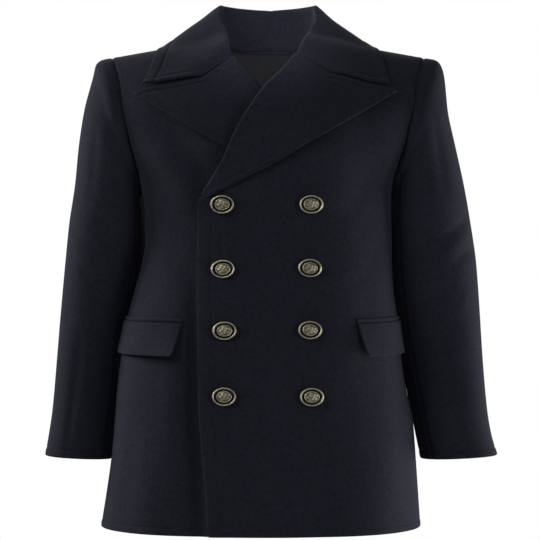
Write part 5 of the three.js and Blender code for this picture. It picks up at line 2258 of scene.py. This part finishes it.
@dataclass
class Buttonholes:
    """Worked buttonholes in the upper front, behind the column of buttons by its edge."""

    wardrobe: Wardrobe
    stitching: Stitching
    first: float = 2.0
    last: float = 34.0
    half_purl: float = 1.7
    steps: int = 56

    def _loop(self, place: ButtonPlace, reach: float, out: float) -> Array:
        """Points round the slit at a reach from its middle line."""
        turn = np.linspace(0, 2 * np.pi, self.steps, endpoint=False)
        middle = (self.first + self.last) / 2
        half = (self.last - self.first) / 2
        x = middle + (half - 1) * np.sign(np.cos(turn)) * np.abs(np.cos(turn)) ** 0.5 + reach * np.cos(turn)
        z = reach * np.sign(np.sin(turn)) * np.abs(np.sin(turn)) ** 0.45
        return on_front(place.x + x, place.z + z, out)[0]

    def build(self) -> None:
        """Makes the welted slits and lays their purl."""
        spots, quads = [], []
        for place in BUTTON_PLACES[::2]:
            start = sum(len(part) for part in spots)
            for reach, out in BUTTONHOLE_RINGS:
                spots.append(self._loop(place, reach, out))
            count = len(BUTTONHOLE_RINGS)
            ids = start + np.arange(count * self.steps).reshape(count, self.steps)
            after = np.roll(ids, -1, axis=1)
            nxt = np.roll(ids, -1, axis=0)
            nxt_after = np.roll(after, -1, axis=0)
            quads.append(np.stack([ids, after, nxt_after, nxt], axis=-1).reshape(-1, 4))
            loop = self._loop(place, self.half_purl, PURL.radius)
            self.stitching.add_purl(np.concatenate([loop, loop[:1]]))
        all_spots, all_quads = np.concatenate(spots), np.concatenate(quads)
        if signed_volume(all_spots, all_quads) < 0:
            all_quads = all_quads[:, ::-1]
        mesh = mesh_of("buttonholes", all_spots, all_quads.tolist(), [self.wardrobe.thread])
        made = show("buttonholes", mesh)
        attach(made, "root")
        LOG.info("buttonholes: %d faces", len(all_quads))


@dataclass
class Studio:
    """Camera, light and floor: a level camera in front of the coat, and soft light from all round."""

    distance: float = 3.2
    camera_x: float = 0.003
    camera_z: float = -0.318
    lens: float = 140.8
    floor_z: float = -1.45
    floor_radius: float = 1.5
    floor_corners: int = 96

    def build_camera(self) -> None:
        """Places the camera at the photograph's angle."""
        data = bpy.data.cameras.new("camera")
        data.lens = self.lens
        data.sensor_width = 36
        camera = bpy.data.objects.new("camera", data)
        camera.location = (self.camera_x, -self.distance, self.camera_z)
        camera.rotation_euler = (math.radians(90), 0, 0)
        bpy.context.collection.objects.link(camera)
        bpy.context.scene.camera = camera

    def _softbox(self, name: str, place: tuple, aim: tuple, size: float, watts: float) -> None:
        """Hangs a square soft light that faces a point."""
        data = bpy.data.lights.new(name, "AREA")
        data.size = size
        data.energy = watts
        lamp = bpy.data.objects.new(name, data)
        lamp.location = place
        way = np.array(aim) - np.array(place)
        pitch = math.atan2(math.hypot(way[0], way[1]), -way[2])
        lamp.rotation_euler = (pitch, 0.0, math.atan2(way[1], way[0]) - math.pi / 2)
        bpy.context.collection.objects.link(lamp)

    def _neck_light(self) -> None:
        """Adds a narrow light that reaches the lining through the neck."""
        data = bpy.data.lights.new("neck", "SPOT")
        data.energy = 430
        data.spot_size = math.radians(3.3)
        data.spot_blend = 0.6
        data.shadow_soft_size = 0.1
        lamp = bpy.data.objects.new("neck", data)
        lamp.location = (0.0, -2.3, 0.35)
        lamp.rotation_euler = (math.radians(82.5), 0, 0)
        bpy.context.collection.objects.link(lamp)

    def build_light(self) -> None:
        """Lights the coat: white all round for the camera, dimmer for what it lights, and softboxes."""
        world = bpy.data.worlds.new("studio")
        world.use_nodes = True
        tree = world.node_tree
        tree.nodes.clear()
        output = tree.nodes.new("ShaderNodeOutputWorld")
        seen, lit = tree.nodes.new("ShaderNodeBackground"), tree.nodes.new("ShaderNodeBackground")
        seen.inputs["Strength"].default_value = 1.0
        lit.inputs["Strength"].default_value = 0.06
        seen.inputs["Color"].default_value = (1, 1, 1, 1)
        lit.inputs["Color"].default_value = (0.93, 0.97, 1.0, 1)
        path, mix = tree.nodes.new("ShaderNodeLightPath"), tree.nodes.new("ShaderNodeMixShader")
        tree.links.new(path.outputs["Is Camera Ray"], mix.inputs[0])
        tree.links.new(lit.outputs[0], mix.inputs[1])
        tree.links.new(seen.outputs[0], mix.inputs[2])
        tree.links.new(mix.outputs[0], output.inputs[0])
        bpy.context.scene.world = world
        self._softbox("side_left", place=(-2.3, 0.6, 0.9), aim=(0, 0, -0.15), size=1.1, watts=62)
        self._softbox("side_right", place=(2.3, 0.6, -0.9), aim=(0, 0, -0.4), size=1.1, watts=52)
        self._softbox("key_left", place=(-1.9, -1.7, 0.9), aim=(0, 0, -0.2), size=0.8, watts=21)
        self._softbox("key_right", place=(1.9, -1.7, -0.3), aim=(0, 0, -0.4), size=0.8, watts=15)
        self._softbox("front", place=(-0.2, -3.2, 1.7), aim=(0, 0, -0.3), size=1.2, watts=8)
        self._neck_light()
        self._softbox("behind", place=(0.3, 3.0, 1.7), aim=(0, 0, -0.3), size=1.8, watts=38)

    def build_floor(self) -> None:
        """Lays a round pale floor below the coat, which its camera doesn't see."""
        count, radius = self.floor_corners, self.floor_radius
        turn = np.linspace(0, 2 * np.pi, count, endpoint=False)
        ring = points(radius * np.cos(turn), radius * np.sin(turn), np.full(count, self.floor_z))
        mesh = bpy.data.meshes.new("floor")
        mesh.from_pydata(ring.tolist(), [], [list(range(count))])
        mesh.materials.append(FloorFinish().material())
        show("floor", mesh)

    def build(self) -> None:
        """Sets the whole studio up."""
        self.build_camera()
        self.build_light()
        self.build_floor()
        bpy.context.scene.view_settings.view_transform = "Standard"


def main() -> None:
    """Builds the studio and the coat, piece by piece."""
    logging.basicConfig(level=logging.INFO, format="%(name)s: %(message)s")
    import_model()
    Studio().build()
    wardrobe = Wardrobe()
    stitching = Stitching()
    Back(wardrobe, stitching).build()
    for side in Side:
        Front(side, wardrobe, stitching).build()
        Sleeve(side, wardrobe, stitching).build()
        Lapel(side, wardrobe, stitching).build()
        Pocket(side, wardrobe, stitching).build()
    Collar(wardrobe, stitching).build()
    Buttons(wardrobe).build()
    Buttonholes(wardrobe, stitching).build()
    stitching.sew(wardrobe)


if __name__ == "__main__":
    main()
